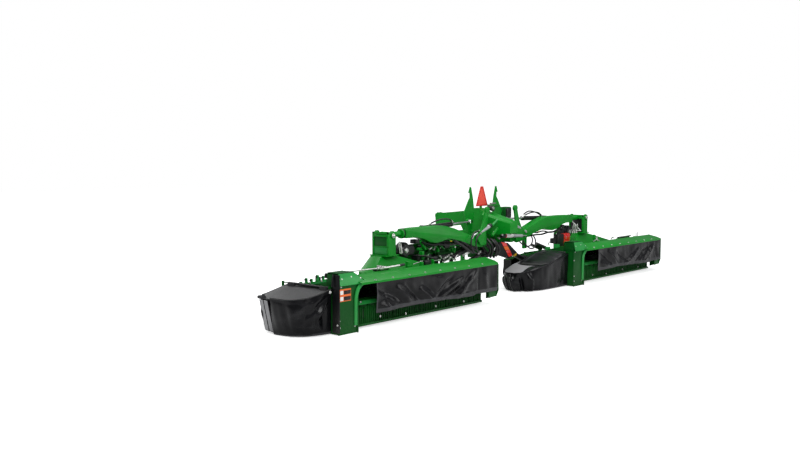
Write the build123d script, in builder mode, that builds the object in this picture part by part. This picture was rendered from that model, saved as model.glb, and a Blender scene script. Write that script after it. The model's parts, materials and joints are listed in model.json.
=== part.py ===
"""Twin-wing disc mower conditioner for a rear three-point hitch, wings lowered and parked.

The frame is +X to the right, +Y forward to the tractor and +Z up, in millimetres.
The origin is on the ground, below the middle of the machine's box.
"""
from build123d import *
from math import atan2, cos, degrees, hypot, radians, sin
import os

os.makedirs("parts", exist_ok=True)

# ---------------------------------------------------------------- driving dimensions
UNIT_LENGTH = 3600.0        # hood length of one mowing unit
INNER_END = 1250.0          # machine centre line to the inner end of each hood
HANGER_SHIFT = 80.0         # pendulum pin nearer to the centre line than the unit's middle
MACHINE_DEPTH = 2300.0      # rear lip of the hoods to the front of the top link ears
LIP_HEIGHT = 668.0          # rear lip of a hood above the ground
DECK_HEIGHT = 735.0         # top of a hood at the fold above its rear band
DECK_FRONT = 540.0          # top of a hood at its front edge
NOSE_REACH = {"left": 550.0, "right": 850.0}   # side guard beyond the unit's left end
NOSE_FRONT = {"left": 1080.0, "right": 800.0}  # side guard's front edge ahead of the lip
NOSE_OUTER_Z = {"left": 480.0, "right": 410.0}  # deck of the side guard at its outer edge
NOSE_INNER_Z = 600.0
NOSE_REAR = 200.0
NOSE_REAR_R = 340.0         # plan radii of the side guards' outer corners
NOSE_FRONT_R = 120.0
NOSE_HEM = 12.0             # lower edge of the side curtains above the ground
NOSE_LUG = {"left": 1134.0, "right": 808.0}    # rear face of the side guard's front hinge lug
NOSE_LUG_Z = {"left": 515.0, "right": 555.0}   # foot of that lug, below the hood
CURTAIN_START = {"left": 660.0, "right": 800.0}  # rear curtain from the unit's left end

CENTRE_X = NOSE_REACH["left"] / 2        # machine centre line, so that the box is centred
LIP_Y = -MACHINE_DEPTH / 2               # rear lip of the hoods
HALF = UNIT_LENGTH / 2
UNIT_REACH = INNER_END + HALF            # machine centre line to the middle of each mowing unit
HANGER_REACH = UNIT_REACH - HANGER_SHIFT

SHEET = 8.0                 # folded sheet of hoods and panels
PLATE = 20.0                # cut plate of arms and ears
PIN_CLEARANCE = 0.05        # radial play of a pin in its bore
RUNNING_GAP = 5.0           # between faces that pass each other
SOFT_GAP = 0.5              # between a curtain and what carries it
SEAT_GAP = 0.3              # between a piece and the seat it is free to turn or slide on

# fold pivot and arm, as distances from the centre line, ahead of the lip and heights
FOLD_OUT = 550.0
FOLD_Z = 900.0
FOLD_PIN_R = 40.0
FOLD_BOSS_R = 85.0
ARM_REAR = 870.0
ARM_FRONT = 1050.0
ARM_WALL = 15.0
HOUSING_REAR = ARM_REAR + ARM_WALL + RUNNING_GAP     # knuckle's housing inside the arm's fork
HOUSING_FRONT = ARM_FRONT - ARM_WALL - RUNNING_GAP
COLLAR_GAP = 410.0          # arm's tip to the pendulum pin, which the side shift uses up
ARM_TIP = HANGER_REACH - COLLAR_GAP
TUBE_Y = (ARM_REAR + ARM_FRONT) / 2
TUBE_Z = 1160.0
TUBE_R = 42.0
TUBE_INNER_END = ARM_TIP - 660.0

# break-away pivot
BREAK_OUT = 412.0
BREAK_AHEAD = 1180.0
BREAK_PIN_R = 35.0
BREAK_TUBE_R = 55.0
BREAK_LOW = 765.0
BREAK_HIGH = 1035.0
EAR = 30.0

# fold cylinder, barrel pinned to the arm and rod eye at the knuckle
ROD_OUT = 540.0
ROD_Z = 1240.0
BARREL_OUT = 1850.0
BARREL_Z = 1200.0
CYLINDER_AHEAD = 1115.0
CYLINDER_EYE_R = 45.0
CYLINDER_EYE_W = 60.0
CYLINDER_PIN_R = 20.0
BARREL_R = 42.0
BARREL_LENGTH = 760.0
PISTON_R = 30.0
ROD_R = 20.0

# hanger of the mowing unit
HANGER_WIDTH = 160.0
HANGER_REAR = 800.0
HANGER_FRONT = 1130.0
HANGER_FOOT = 850.0
HANGER_TOP = 1230.0
HANGER_PIN_R = 25.0
TUBE_EYE_R = 55.0

SPINE_END = 1075.0          # right end of the spine beam from the unit's middle

# end panel at a unit's left end
PANEL_WIDTH = 350.0
PANEL_FRONT = 100.0         # front face of the upright sheet, ahead of the lip
SHOULDER_TOP = 820.0
SHOULDER_FRONT = 300.0
ARCH_R = 180.0

# swath board across the rear of a unit, from the unit's middle
BOARD_END = HALF - 180.0
BOARD_WINDOWS = (-1540, -860, -180, 500, 1080)

# conditioner and cutterbar
ROTOR_AHEAD = 760.0
ROTOR_Z = 355.0
ROTOR_R = 220.0
ROTOR_TUBE_R = 80.0
TINE_COUNT = 11
JOURNAL_R = 25.0
END_WALL = 12.0
WALL_LEFT = SHEET + END_WALL - HALF      # inner faces of the end walls, from the unit's middle
WALL_RIGHT = HALF - 60.0
DISC_COUNT = 8
DISC_PITCH = (UNIT_LENGTH - 200.0) / DISC_COUNT
DISC_AHEAD = 1330.0
DISC_R = 185.0
KNIFE_REACH = 265.0
SPINDLE_R = 20.0
BED_TOP = 118.0
BED_BOTTOM = 46.0
BED_REAR = 1220.0
BED_FRONT = 1460.0

# hinges of the guards
GUARD_HINGE = 1152.0
GUARD_HINGE_Z = DECK_FRONT + 10.0
GUARD_PIN_R = 8.0
GUARD_FRONT = 1640.0
GUARD_DROP = 150.0          # fall of the front guard from its hinge to its front edge

# hitch, to the size of a category 3 linkage
HITCH_AHEAD = MACHINE_DEPTH - 60.0
HITCH_Z = 600.0
HITCH_SHOULDER = 482.5
HITCH_PIN_R = 18.3
HITCH_PIN_LENGTH = 62.0
MAST_HEIGHT = 685.0
TOP_LINK_R = 16.0
TOP_LINK_GAP = 54.0

# drive line
MAIN_BOX_Z = 730.0
DRIVE_AHEAD = 1000.0
DRIVE_START = 300.0
DRIVE_END = 1120.0
GEARBOX_INNER = 1150.0      # inner face of a unit's gearbox from the centre line
UNIT_BOX_Z = 410.0
INPUT_BASE = DRIVE_AHEAD + 60
INPUT_TUBE_R = 30.0
INPUT_R = 17.45
INPUT_STUB = 80.0
INPUT_TIP = HITCH_AHEAD - 40.0

# parking stand
STAND_OUT = 250.0
STAND_AHEAD = 1500.0
STAND_PIVOT_Z = 740.0
STAND_TUBE = 60.0
STAND_PIN_R = 15.0
TRIANGLE_TOP = 1840.0


def ahead(distance):
    """Y of a place that lies this far ahead of the hoods' rear lip."""
    return LIP_Y + distance


def block(x0, x1, y0, y1, z0, z1, mode=Mode.ADD):
    """A box between two corners, with y given ahead of the lip."""
    with Locations(((x0 + x1) / 2, ahead((y0 + y1) / 2), (z0 + z1) / 2)):
        Box(abs(x1 - x0), abs(y1 - y0), abs(z1 - z0), mode=mode)


def side_slab(x0, x1, outline, mode=Mode.ADD):
    """A slab from x0 to x1 with an outline of (ahead, z) points."""
    points = [(ahead(y), z) for y, z in outline]
    with BuildSketch(Plane.YZ.offset(x0)) as profile:
        with BuildLine():
            Polyline(*points, close=True)
        make_face()
    extrude(profile.sketch, amount=x1 - x0, dir=(1, 0, 0), mode=mode)


def rear_slab(y0, y1, outline, mode=Mode.ADD):
    """A slab from y0 to y1 ahead of the lip with an outline of (x, z) points."""
    with BuildSketch(Plane(origin=(0, ahead(y0), 0), x_dir=(1, 0, 0), z_dir=(0, -1, 0))) as profile:
        with BuildLine():
            Polyline(*outline, close=True)
        make_face()
    extrude(profile.sketch, amount=y1 - y0, dir=(0, 1, 0), mode=mode)


def bar(start, end, radius, mode=Mode.ADD):
    """A round bar between two points of (x, ahead, z)."""
    a = Vector(start[0], ahead(start[1]), start[2])
    b = Vector(end[0], ahead(end[1]), end[2])
    with BuildSketch(Plane(origin=a, z_dir=b - a)) as profile:
        Circle(radius)
    extrude(profile.sketch, amount=(b - a).length, dir=(b - a).normalized(), mode=mode)


def save(builder, name):
    """Label a finished piece and write it as its own file."""
    builder.part.label = name
    export_step(builder.part, f"parts/{name}.step")


# ---------------------------------------------------------------- centre: main frame
BEAM_REAR = 1300.0
BEAM_FRONT = 1420.0
BEAM_BOTTOM = 800.0
BEAM_TOP = 960.0
TOWER_TOP = 1450.0
FIN_REAR = 1222.0
FIN_OUTLINE = [  # transport hook: distance from the centre line, height
    (350, 1070), (474, 1070), (585, 1390), (450, 1600), (405, 1655), (408, 1735), (446, 1735),
    (404, TRIANGLE_TOP), (380, TRIANGLE_TOP), (325, 1650), (290, 1450), (300, 1300),
]
TRIANGLE_AHEAD = 1270.0
RAIL_INNER = 205.0
RAIL_OUTER = 295.0
CROSS_REAR = HITCH_AHEAD - 80.0
TOP_LINK_Z = HITCH_Z + MAST_HEIGHT

with BuildPart() as main_frame:
    block(CENTRE_X - 490, CENTRE_X + 490, BEAM_REAR, BEAM_FRONT, BEAM_BOTTOM, BEAM_TOP)
    side_slab(CENTRE_X - 110, CENTRE_X + 110, [(1130, 960), (1420, 960), (1420, TOWER_TOP),
                                               (1250, TOWER_TOP), (1130, 1380)])
    block(CENTRE_X - 20, CENTRE_X + 20, TRIANGLE_AHEAD, TRIANGLE_AHEAD + 30, TOWER_TOP - 20,
          TRIANGLE_TOP - 60)
    for s in (-1, 1):
        x = CENTRE_X + s * BREAK_OUT
        block(x - 65, x + 65, BEAM_REAR, BEAM_FRONT, BREAK_LOW - 38, BREAK_HIGH + 38)
        for low in (BREAK_LOW - 8 - EAR, BREAK_HIGH + 8):
            block(x - 65, x + 65, BREAK_AHEAD, BEAM_REAR, low, low + EAR)
            bar((x, BREAK_AHEAD, low), (x, BREAK_AHEAD, low + EAR), 65)
            bar((x, BREAK_AHEAD, low), (x, BREAK_AHEAD, low + EAR),
                BREAK_PIN_R + PIN_CLEARANCE, mode=Mode.SUBTRACT)
        rear_slab(FIN_REAR, FIN_REAR + PLATE, [(CENTRE_X + s * d, z) for d, z in FIN_OUTLINE])
        rail = CENTRE_X + s * (RAIL_INNER + RAIL_OUTER) / 2
        block(rail - 45, rail + 45, BEAM_FRONT, CROSS_REAR, BEAM_BOTTOM, 900)
        for edge in (rail - 44, rail + 44):
            block(edge - 8, edge + 8, STAND_AHEAD - 40, STAND_AHEAD + 40, STAND_PIVOT_Z - 40, BEAM_BOTTOM)
        bar((rail - 52, STAND_AHEAD, STAND_PIVOT_Z), (rail + 52, STAND_AHEAD, STAND_PIVOT_Z), STAND_PIN_R)
        cheek = CENTRE_X + s * (TOP_LINK_GAP / 2 + PLATE / 2)
        side_slab(cheek - PLATE / 2, cheek + PLATE / 2,
                  [(BEAM_FRONT, 960), (BEAM_FRONT, 1400), (1560, 1400), (HITCH_AHEAD - 70, 1335),
                   (HITCH_AHEAD, 1345), (HITCH_AHEAD + 50, 1318), (MACHINE_DEPTH, 1285), (HITCH_AHEAD + 50, 1240),
                   (HITCH_AHEAD + 20, 820), (CROSS_REAR, 820), (CROSS_REAR - 70, 1080), (1700, 1130), (1600, 960)])
        shoulder = CENTRE_X + s * HITCH_SHOULDER
        block(shoulder - s * 60, shoulder, HITCH_AHEAD - 70, MACHINE_DEPTH, 530, 820)
        bar((shoulder, HITCH_AHEAD, HITCH_Z), (shoulder + s * HITCH_PIN_LENGTH, HITCH_AHEAD, HITCH_Z),
            HITCH_PIN_R)
    block(CENTRE_X - HITCH_SHOULDER, CENTRE_X + HITCH_SHOULDER, CROSS_REAR, HITCH_AHEAD + 20, BEAM_BOTTOM, 900)
    bar((CENTRE_X - 60, HITCH_AHEAD, TOP_LINK_Z), (CENTRE_X + 60, HITCH_AHEAD, TOP_LINK_Z),
        TOP_LINK_R, mode=Mode.SUBTRACT)
    block(CENTRE_X - 45, CENTRE_X + 45, 1930, 1960, MAIN_BOX_Z - 60, BEAM_BOTTOM + 20)
    block(CENTRE_X - RAIL_INNER, CENTRE_X + RAIL_INNER, 1890, 1960, BEAM_BOTTOM, BEAM_BOTTOM + 60)
    bar((CENTRE_X, 1925, MAIN_BOX_Z), (CENTRE_X, 1965, MAIN_BOX_Z), INPUT_TUBE_R + PIN_CLEARANCE,
        mode=Mode.SUBTRACT)
save(main_frame, "main_frame")

# ---------------------------------------------------------------- centre: hood over the drive
HOOD_SECTIONS = [  # ahead of the lip, half width, bottom, top
    (570.0, 120.0, 1030.0, 1240.0),
    (1130.0, 190.0, 990.0, 1385.0),
]

with BuildPart() as center_hood:
    for inset, mode in ((0.0, Mode.ADD), (SHEET, Mode.SUBTRACT)):
        sections = []
        for along, half, low, high in HOOD_SECTIONS:
            shift = inset if along < 900 else -inset / 2
            plane = Plane(origin=(CENTRE_X, ahead(along + shift), 0), x_dir=(1, 0, 0), z_dir=(0, -1, 0))
            floor = low - inset * 2
            with BuildSketch(plane) as section:
                with BuildLine():
                    Polyline((-half + inset, floor), (half - inset, floor), (half - inset, high - 40 - inset),
                             (half - 40 - inset, high - inset), (-half + 40 + inset, high - inset),
                             (-half + inset, high - 40 - inset), close=True)
                make_face()
            sections.append(section.sketch)
        loft(sections, mode=mode)
save(center_hood, "center_hood")

# ---------------------------------------------------------------- centre: warning triangle
with BuildPart() as warning_triangle:
    rear_slab(TRIANGLE_AHEAD - SHEET, TRIANGLE_AHEAD,
              [(CENTRE_X - 175, TRIANGLE_TOP - 350), (CENTRE_X + 175, TRIANGLE_TOP - 350),
               (CENTRE_X + 38, TRIANGLE_TOP), (CENTRE_X - 38, TRIANGLE_TOP)])
save(warning_triangle, "warning_triangle")

# ---------------------------------------------------------------- centre: gearbox and input shaft
with BuildPart() as main_gearbox:
    block(CENTRE_X - 150, CENTRE_X + 150, DRIVE_AHEAD - 95, DRIVE_AHEAD + 95, MAIN_BOX_Z - 95, MAIN_BOX_Z + 105)
    fillet(main_gearbox.edges(), radius=18)
    block(CENTRE_X - 60, CENTRE_X + 60, DRIVE_AHEAD, BEAM_REAR, MAIN_BOX_Z + 90, MAIN_BOX_Z + 135)
    block(CENTRE_X - 100, CENTRE_X + 100, BEAM_REAR - 20, BEAM_REAR, BEAM_BOTTOM + 10, BEAM_TOP - 10)
    bar((CENTRE_X - DRIVE_START + 60, DRIVE_AHEAD, MAIN_BOX_Z), (CENTRE_X + DRIVE_START - 60, DRIVE_AHEAD, MAIN_BOX_Z),
        55)
    bar((CENTRE_X, DRIVE_AHEAD + 90, MAIN_BOX_Z), (CENTRE_X, DRIVE_AHEAD + 150, MAIN_BOX_Z), 70)
    bar((CENTRE_X, INPUT_BASE, MAIN_BOX_Z), (CENTRE_X, DRIVE_AHEAD + 151, MAIN_BOX_Z),
        INPUT_TUBE_R + PIN_CLEARANCE, mode=Mode.SUBTRACT)
save(main_gearbox, "main_gearbox")

with BuildPart() as input_shaft:
    bar((CENTRE_X, INPUT_BASE + 5, MAIN_BOX_Z), (CENTRE_X, INPUT_TIP - INPUT_STUB, MAIN_BOX_Z), INPUT_TUBE_R)
    bar((CENTRE_X, INPUT_TIP - INPUT_STUB, MAIN_BOX_Z), (CENTRE_X, INPUT_TIP, MAIN_BOX_Z), INPUT_R)
save(input_shaft, "input_shaft")

# ---------------------------------------------------------------- centre: parking stand
with BuildPart() as parking_stand:
    for s in (-1, 1):
        leg = CENTRE_X + s * STAND_OUT
        half = STAND_TUBE / 2
        block(leg - half, leg + half, STAND_AHEAD - half, STAND_AHEAD + half, 0, STAND_PIVOT_Z + half)
        block(leg - 80, leg + 80, STAND_AHEAD - 50, STAND_AHEAD + 50, 0, 12)
        block(leg - half, leg + half, STAND_AHEAD - 60, STAND_AHEAD, 320, 360)
        bar((leg - half - 1, STAND_AHEAD, STAND_PIVOT_Z), (leg + half + 1, STAND_AHEAD, STAND_PIVOT_Z),
            STAND_PIN_R + PIN_CLEARANCE, mode=Mode.SUBTRACT)
    block(CENTRE_X - STAND_OUT - 30, CENTRE_X + STAND_OUT + 30, STAND_AHEAD - 90, STAND_AHEAD - 50, 320, 360)
save(parking_stand, "parking_stand")

# ---------------------------------------------------------------- the two wings
CYLINDER_LENGTH = hypot(ROD_OUT - BARREL_OUT, ROD_Z - BARREL_Z)

for side, s in (("left", -1), ("right", 1)):

    def out(distance):
        """X of a place this far from the centre line on this wing's side."""
        return CENTRE_X + s * distance

    # knuckle: vertical break-away tube, fold housing and lever
    with BuildPart() as knuckle:
        bar((out(BREAK_OUT), BREAK_AHEAD, BREAK_LOW), (out(BREAK_OUT), BREAK_AHEAD, BREAK_HIGH), BREAK_TUBE_R)
        bar((out(BREAK_OUT), BREAK_AHEAD, BREAK_LOW - 50), (out(BREAK_OUT), BREAK_AHEAD, BREAK_HIGH + 50),
            BREAK_PIN_R)
        block(out(370), out(455), HOUSING_REAR, BREAK_AHEAD, 830, 970)
        block(out(440), out(520), HOUSING_REAR, HOUSING_FRONT, 860, 940)
        block(out(430), out(590), BREAK_AHEAD - 15, BREAK_AHEAD + 30, 850, 970)
        bar((out(FOLD_OUT), HOUSING_REAR, FOLD_Z), (out(FOLD_OUT), HOUSING_FRONT, FOLD_Z), 70)
        bar((out(FOLD_OUT), 826, FOLD_Z), (out(FOLD_OUT), 1066, FOLD_Z), FOLD_PIN_R)
        rear_slab(BREAK_AHEAD - 15, BREAK_AHEAD + 10,
                  [(out(492), 860), (out(590), 860), (out(590), 1270), (out(565), 1290), (out(515), 1290),
                   (out(492), 1270)])
        bar((out(ROD_OUT), CYLINDER_AHEAD + CYLINDER_EYE_W / 2 + 2, ROD_Z), (out(ROD_OUT), BREAK_AHEAD, ROD_Z),
            CYLINDER_EYE_R)
        rear_slab(826, 852, [(out(470), 860), (out(630), 850), (out(740), 990), (out(735), 1040),
                             (out(640), 1100), (out(560), 1240), (out(490), 1450), (out(395), 1440),
                             (out(440), 1230), (out(480), 1060)])
        bar((out(440), 818, 1450), (out(440), 860, 1450), 55)
    save(knuckle, f"{side}_knuckle")

    # arm: a belly-shaped box, forked at the fold pin, with a collar for the sliding tube
    ARM_OUTLINE = [  # distance from the centre line, height
        (ARM_TIP, 1090), (ARM_TIP, 1230), (ARM_TIP - 260, 1238), (1620, 1238), (1330, 1180), (700, 985),
        (FOLD_OUT, 985), (FOLD_OUT, 815), (700, 830), (1150, 960), (ARM_TIP - 1080, 1020), (ARM_TIP - 910, 985),
        (ARM_TIP - 760, 968), (ARM_TIP - 610, 990), (ARM_TIP - 440, 1055), (ARM_TIP - 260, 1088),
    ]
    ARM_HOLLOW = [
        (ARM_TIP - PLATE, 1105), (ARM_TIP - PLATE, 1215), (ARM_TIP - 260, 1223), (1625, 1223), (1340, 1165),
        (720, 970), (FOLD_OUT - 90, 970), (FOLD_OUT - 90, 828), (715, 846), (1145, 976), (ARM_TIP - 1078, 1036),
        (ARM_TIP - 905, 1001), (ARM_TIP - 760, 984), (ARM_TIP - 620, 1005), (ARM_TIP - 448, 1070),
        (ARM_TIP - 264, 1104),
    ]
    with BuildPart() as arm:
        rear_slab(ARM_REAR, ARM_FRONT, [(out(d), z) for d, z in ARM_OUTLINE])
        bar((out(FOLD_OUT), ARM_REAR, FOLD_Z), (out(FOLD_OUT), ARM_FRONT, FOLD_Z), FOLD_BOSS_R)
        rear_slab(ARM_REAR + ARM_WALL, ARM_FRONT - ARM_WALL, [(out(d), z) for d, z in ARM_HOLLOW],
                  mode=Mode.SUBTRACT)
        bar((out(FOLD_OUT), ARM_REAR + ARM_WALL, FOLD_Z), (out(FOLD_OUT), ARM_FRONT - ARM_WALL, FOLD_Z),
            FOLD_BOSS_R + 20, mode=Mode.SUBTRACT)
        bar((out(FOLD_OUT), ARM_REAR - 5, FOLD_Z), (out(FOLD_OUT), ARM_FRONT + 5, FOLD_Z),
            FOLD_PIN_R + PIN_CLEARANCE, mode=Mode.SUBTRACT)
        bar((out(ARM_TIP - 40), TUBE_Y, TUBE_Z), (out(ARM_TIP + 50), TUBE_Y, TUBE_Z), 74)
        block(out(ARM_TIP - 570), out(ARM_TIP - 540), ARM_REAR + 5, ARM_FRONT - 5, 1050, 1230)
        bar((out(ARM_TIP - 45), TUBE_Y, TUBE_Z), (out(ARM_TIP + 55), TUBE_Y, TUBE_Z),
            TUBE_R + PIN_CLEARANCE, mode=Mode.SUBTRACT)
        bar((out(ARM_TIP - 580), TUBE_Y, TUBE_Z), (out(ARM_TIP - 530), TUBE_Y, TUBE_Z), TUBE_R + PIN_CLEARANCE,
            mode=Mode.SUBTRACT)
        for y0, y1 in ((ARM_FRONT - 5, 1072), (1158, 1173)):
            bar((out(BARREL_OUT), y0, BARREL_Z), (out(BARREL_OUT), y1, BARREL_Z), CYLINDER_EYE_R)
            block(out(BARREL_OUT - 40), out(BARREL_OUT + 40), y0, y1, 1080, BARREL_Z)
        block(out(BARREL_OUT - 40), out(BARREL_OUT + 40), ARM_FRONT - 5, 1173, 1080, 1104)
        bar((out(BARREL_OUT), ARM_FRONT, BARREL_Z), (out(BARREL_OUT), 1173, BARREL_Z), CYLINDER_PIN_R)
    save(arm, f"{side}_arm")

    # tube that slides in the arm, with the eye that carries the hanger
    with BuildPart() as arm_tube:
        bar((out(TUBE_INNER_END), TUBE_Y, TUBE_Z), (out(HANGER_REACH - 40), TUBE_Y, TUBE_Z), TUBE_R)
        bar((out(TUBE_INNER_END - 1), TUBE_Y, TUBE_Z), (out(HANGER_REACH - 120), TUBE_Y, TUBE_Z), TUBE_R - 10,
            mode=Mode.SUBTRACT)
        bar((out(HANGER_REACH), TUBE_Y - 60, TUBE_Z), (out(HANGER_REACH), TUBE_Y + 60, TUBE_Z), TUBE_EYE_R)
        bar((out(HANGER_REACH), TUBE_Y - 61, TUBE_Z), (out(HANGER_REACH), TUBE_Y + 61, TUBE_Z),
            HANGER_PIN_R + PIN_CLEARANCE, mode=Mode.SUBTRACT)
    save(arm_tube, f"{side}_arm_tube")

    # fold cylinder
    reach = s * (ROD_OUT - BARREL_OUT) / CYLINDER_LENGTH
    rise = (ROD_Z - BARREL_Z) / CYLINDER_LENGTH

    def along(distance):
        """A place on the cylinder's axis, this far from its foot pin."""
        return (out(BARREL_OUT) + reach * distance, CYLINDER_AHEAD, BARREL_Z + rise * distance)

    foot = along(0)
    with BuildPart() as fold_barrel:
        bar((foot[0], CYLINDER_AHEAD - CYLINDER_EYE_W / 2, foot[2]),
            (foot[0], CYLINDER_AHEAD + CYLINDER_EYE_W / 2, foot[2]), CYLINDER_EYE_R)
        bar(along(30), along(BARREL_LENGTH), BARREL_R)
        bar(along(70), along(BARREL_LENGTH - 30), PISTON_R + PIN_CLEARANCE, mode=Mode.SUBTRACT)
        bar(along(BARREL_LENGTH - 31), along(BARREL_LENGTH + 1), ROD_R + PIN_CLEARANCE, mode=Mode.SUBTRACT)
        bar((foot[0], CYLINDER_AHEAD - 40, foot[2]), (foot[0], CYLINDER_AHEAD + 40, foot[2]),
            CYLINDER_PIN_R + PIN_CLEARANCE, mode=Mode.SUBTRACT)
    save(fold_barrel, f"{side}_fold_barrel")

    eye = along(CYLINDER_LENGTH)
    with BuildPart() as fold_rod:
        bar(along(420), along(CYLINDER_LENGTH - 20), ROD_R)
        bar(along(420), along(460), PISTON_R)
        bar((eye[0], CYLINDER_AHEAD - CYLINDER_EYE_W / 2, eye[2]),
            (eye[0], CYLINDER_AHEAD + CYLINDER_EYE_W / 2, eye[2]), CYLINDER_EYE_R - 7)
        bar((eye[0], CYLINDER_AHEAD - 40, eye[2]), (eye[0], CYLINDER_AHEAD + 40, eye[2]), CYLINDER_PIN_R,
            mode=Mode.SUBTRACT)
    save(fold_rod, f"{side}_fold_rod")

    # telescopic drive shaft in its guard tubes, from the main gearbox to the unit's gearbox
    fall = (UNIT_BOX_Z - MAIN_BOX_Z) / (DRIVE_END - DRIVE_START)

    def shaft_point(distance):
        """A place on the drive shaft's axis at this distance from the centre line."""
        return (out(distance), DRIVE_AHEAD, MAIN_BOX_Z + fall * (distance - DRIVE_START))

    with BuildPart() as drive_shaft:
        bar((out(DRIVE_START - 60 + SEAT_GAP), DRIVE_AHEAD, MAIN_BOX_Z),
            (out(DRIVE_START + 10), DRIVE_AHEAD, MAIN_BOX_Z), 32)
        bar(shaft_point(DRIVE_START), shaft_point(720), 38)
        bar(shaft_point(680), shaft_point(DRIVE_END - 80), 46)
        bar(shaft_point(DRIVE_END - 130), shaft_point(DRIVE_END - 15), 85)
        bar(shaft_point(DRIVE_END - 100), shaft_point(DRIVE_END), 77, mode=Mode.SUBTRACT)
        bar(shaft_point(DRIVE_END - 130), shaft_point(DRIVE_END - 12), 30)
    save(drive_shaft, f"{side}_drive_shaft")

    # ------------------------------------------------------------ mowing unit
    UNIT_X = out(UNIT_REACH)
    HANGER_X = out(HANGER_REACH)
    LEFT_END = UNIT_X - HALF
    RIGHT_END = UNIT_X + HALF
    wall_in = UNIT_X + WALL_LEFT
    wall_out = UNIT_X + WALL_RIGHT

    # hanger: two cheeks and an outboard web on the pendulum pin
    with BuildPart() as hanger:
        x0, x1 = HANGER_X - HANGER_WIDTH / 2, HANGER_X + HANGER_WIDTH / 2
        for y0 in (HANGER_REAR, HANGER_FRONT - PLATE):
            rear_slab(y0, y0 + PLATE, [(x0, HANGER_FOOT), (x1, HANGER_FOOT), (x1, HANGER_TOP - 50),
                                       (x1 - 50, HANGER_TOP), (x0 + 50, HANGER_TOP), (x0, HANGER_TOP - 50)])
        web = HANGER_X + s * (HANGER_WIDTH / 2 - 6)
        block(web - 6, web + 6, HANGER_REAR, HANGER_FRONT, HANGER_FOOT, HANGER_TOP - 20)
        block(x0 - 70, x1 + 70, HANGER_REAR - 10, HANGER_FRONT + 10, HANGER_FOOT, HANGER_FOOT + 15)
        block(x0, x1, HANGER_REAR, HANGER_FRONT, HANGER_FOOT, HANGER_FOOT + 110)
        block(x0 + 15 * (s < 0), x1 - 15 * (s > 0), HANGER_REAR + PLATE, HANGER_FRONT - PLATE,
              HANGER_FOOT + 15, HANGER_FOOT + 111, mode=Mode.SUBTRACT)
        bar((HANGER_X, HANGER_REAR - 12, TUBE_Z), (HANGER_X, HANGER_FRONT + 12, TUBE_Z), HANGER_PIN_R)
        bar((HANGER_X, HANGER_REAR - 12, TUBE_Z), (HANGER_X, TUBE_Y - 66, TUBE_Z), 40)
        bar((HANGER_X, TUBE_Y + 66, TUBE_Z), (HANGER_X, HANGER_FRONT + 12, TUBE_Z), 40)
    save(hanger, f"{side}_hanger")

    # spine beam: highest below the hanger, with a short fall to the left and a long taper to the right
    SPINE_REAR, SPINE_FRONT = HANGER_REAR + 10, HANGER_FRONT - 20
    deck_fall = (DECK_HEIGHT - DECK_FRONT) / 790
    beam_foot = DECK_HEIGHT - deck_fall * (SPINE_REAR - 300)
    front_foot = DECK_HEIGHT - deck_fall * (SPINE_FRONT - 300)
    with BuildPart() as spine_beam:
        rear_slab(SPINE_REAR, SPINE_FRONT,
                  [(HANGER_X - 420, front_foot), (UNIT_X + SPINE_END, front_foot),
                   (UNIT_X + SPINE_END, beam_foot + 13), (HANGER_X + 150, HANGER_FOOT),
                   (HANGER_X - 150, HANGER_FOOT), (HANGER_X - 420, beam_foot + 13)])
        side_slab(LEFT_END, RIGHT_END,
                  [(SPINE_REAR - 1, beam_foot + deck_fall), (SPINE_FRONT + 1, front_foot - deck_fall),
                   (SPINE_FRONT + 1, 400), (SPINE_REAR - 1, 400)], mode=Mode.SUBTRACT)
        side_slab(LEFT_END, RIGHT_END, [(SPINE_REAR - 1, beam_foot + 2), (SPINE_REAR + 80, HANGER_FOOT + 1),
                                        (SPINE_REAR - 1, HANGER_FOOT + 1)], mode=Mode.SUBTRACT)
    save(spine_beam, f"{side}_spine_beam")

    # unit frame: two end walls, lower rail and the slanted swath board
    with BuildPart() as unit_frame:
        deck_inner = DECK_HEIGHT - SHEET
        wall_top = deck_inner - 0.5 - deck_fall * 130
        wall_front = [(1470, 6), (1470, 130), (1240, 300), (1200, DECK_FRONT - 95), (1172, DECK_FRONT - 35),
                      (1172, DECK_FRONT + 29), (1134, DECK_FRONT + 29), (1134, DECK_FRONT - 35),
                      (1115, DECK_FRONT - 35), (1084, DECK_FRONT - SHEET - 0.5)]
        side_slab(wall_in - END_WALL, wall_in, [(110, 6)] + wall_front + [(302, deck_inner - 0.5), (110, 680)])
        side_slab(wall_out, wall_out + END_WALL, [(430, 6)] + wall_front + [(430, wall_top)])
        for wall, way in ((wall_in, 1), (wall_out, -1)):
            bar((wall - way * 5, GUARD_HINGE, GUARD_HINGE_Z), (wall + way * 60, GUARD_HINGE, GUARD_HINGE_Z),
                GUARD_PIN_R)
        lug = LEFT_END - RUNNING_GAP - 37
        y = NOSE_REAR + 40 - RUNNING_GAP - 12
        block(lug, LEFT_END + SHEET + 1, y, y + 12, NOSE_INNER_Z + 5, NOSE_INNER_Z + 39)
        y = NOSE_LUG[side]
        block(lug, LEFT_END - 1, y, y + 12, NOSE_LUG_Z[side], NOSE_INNER_Z + 39)
        block(lug, LEFT_END + SHEET + 1, y, y + 12, NOSE_LUG_Z[side], NOSE_LUG_Z[side] + 35)
        bar((LEFT_END - RUNNING_GAP - 20, NOSE_REAR + 30, NOSE_INNER_Z + 22),
            (LEFT_END - RUNNING_GAP - 20, NOSE_LUG[side] + 6, NOSE_INNER_Z + 22), GUARD_PIN_R)
        block(wall_in, wall_out, 440, 480, 20, 80)
        side_slab(wall_in, UNIT_X + BOARD_END, [(250, 20), (258, 20), (258, 336), (342, 385), (338, 392), (250, 344)])
        for x in BOARD_WINDOWS:
            block(UNIT_X + x, UNIT_X + x + 420, 240, 270, 120, 290, mode=Mode.SUBTRACT)
        for x in (-1000, -300, 400, BOARD_END - SHEET):
            side_slab(UNIT_X + x, UNIT_X + x + SHEET, [(250, 20), (450, 20), (450, 80), (258, 200)])
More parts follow.
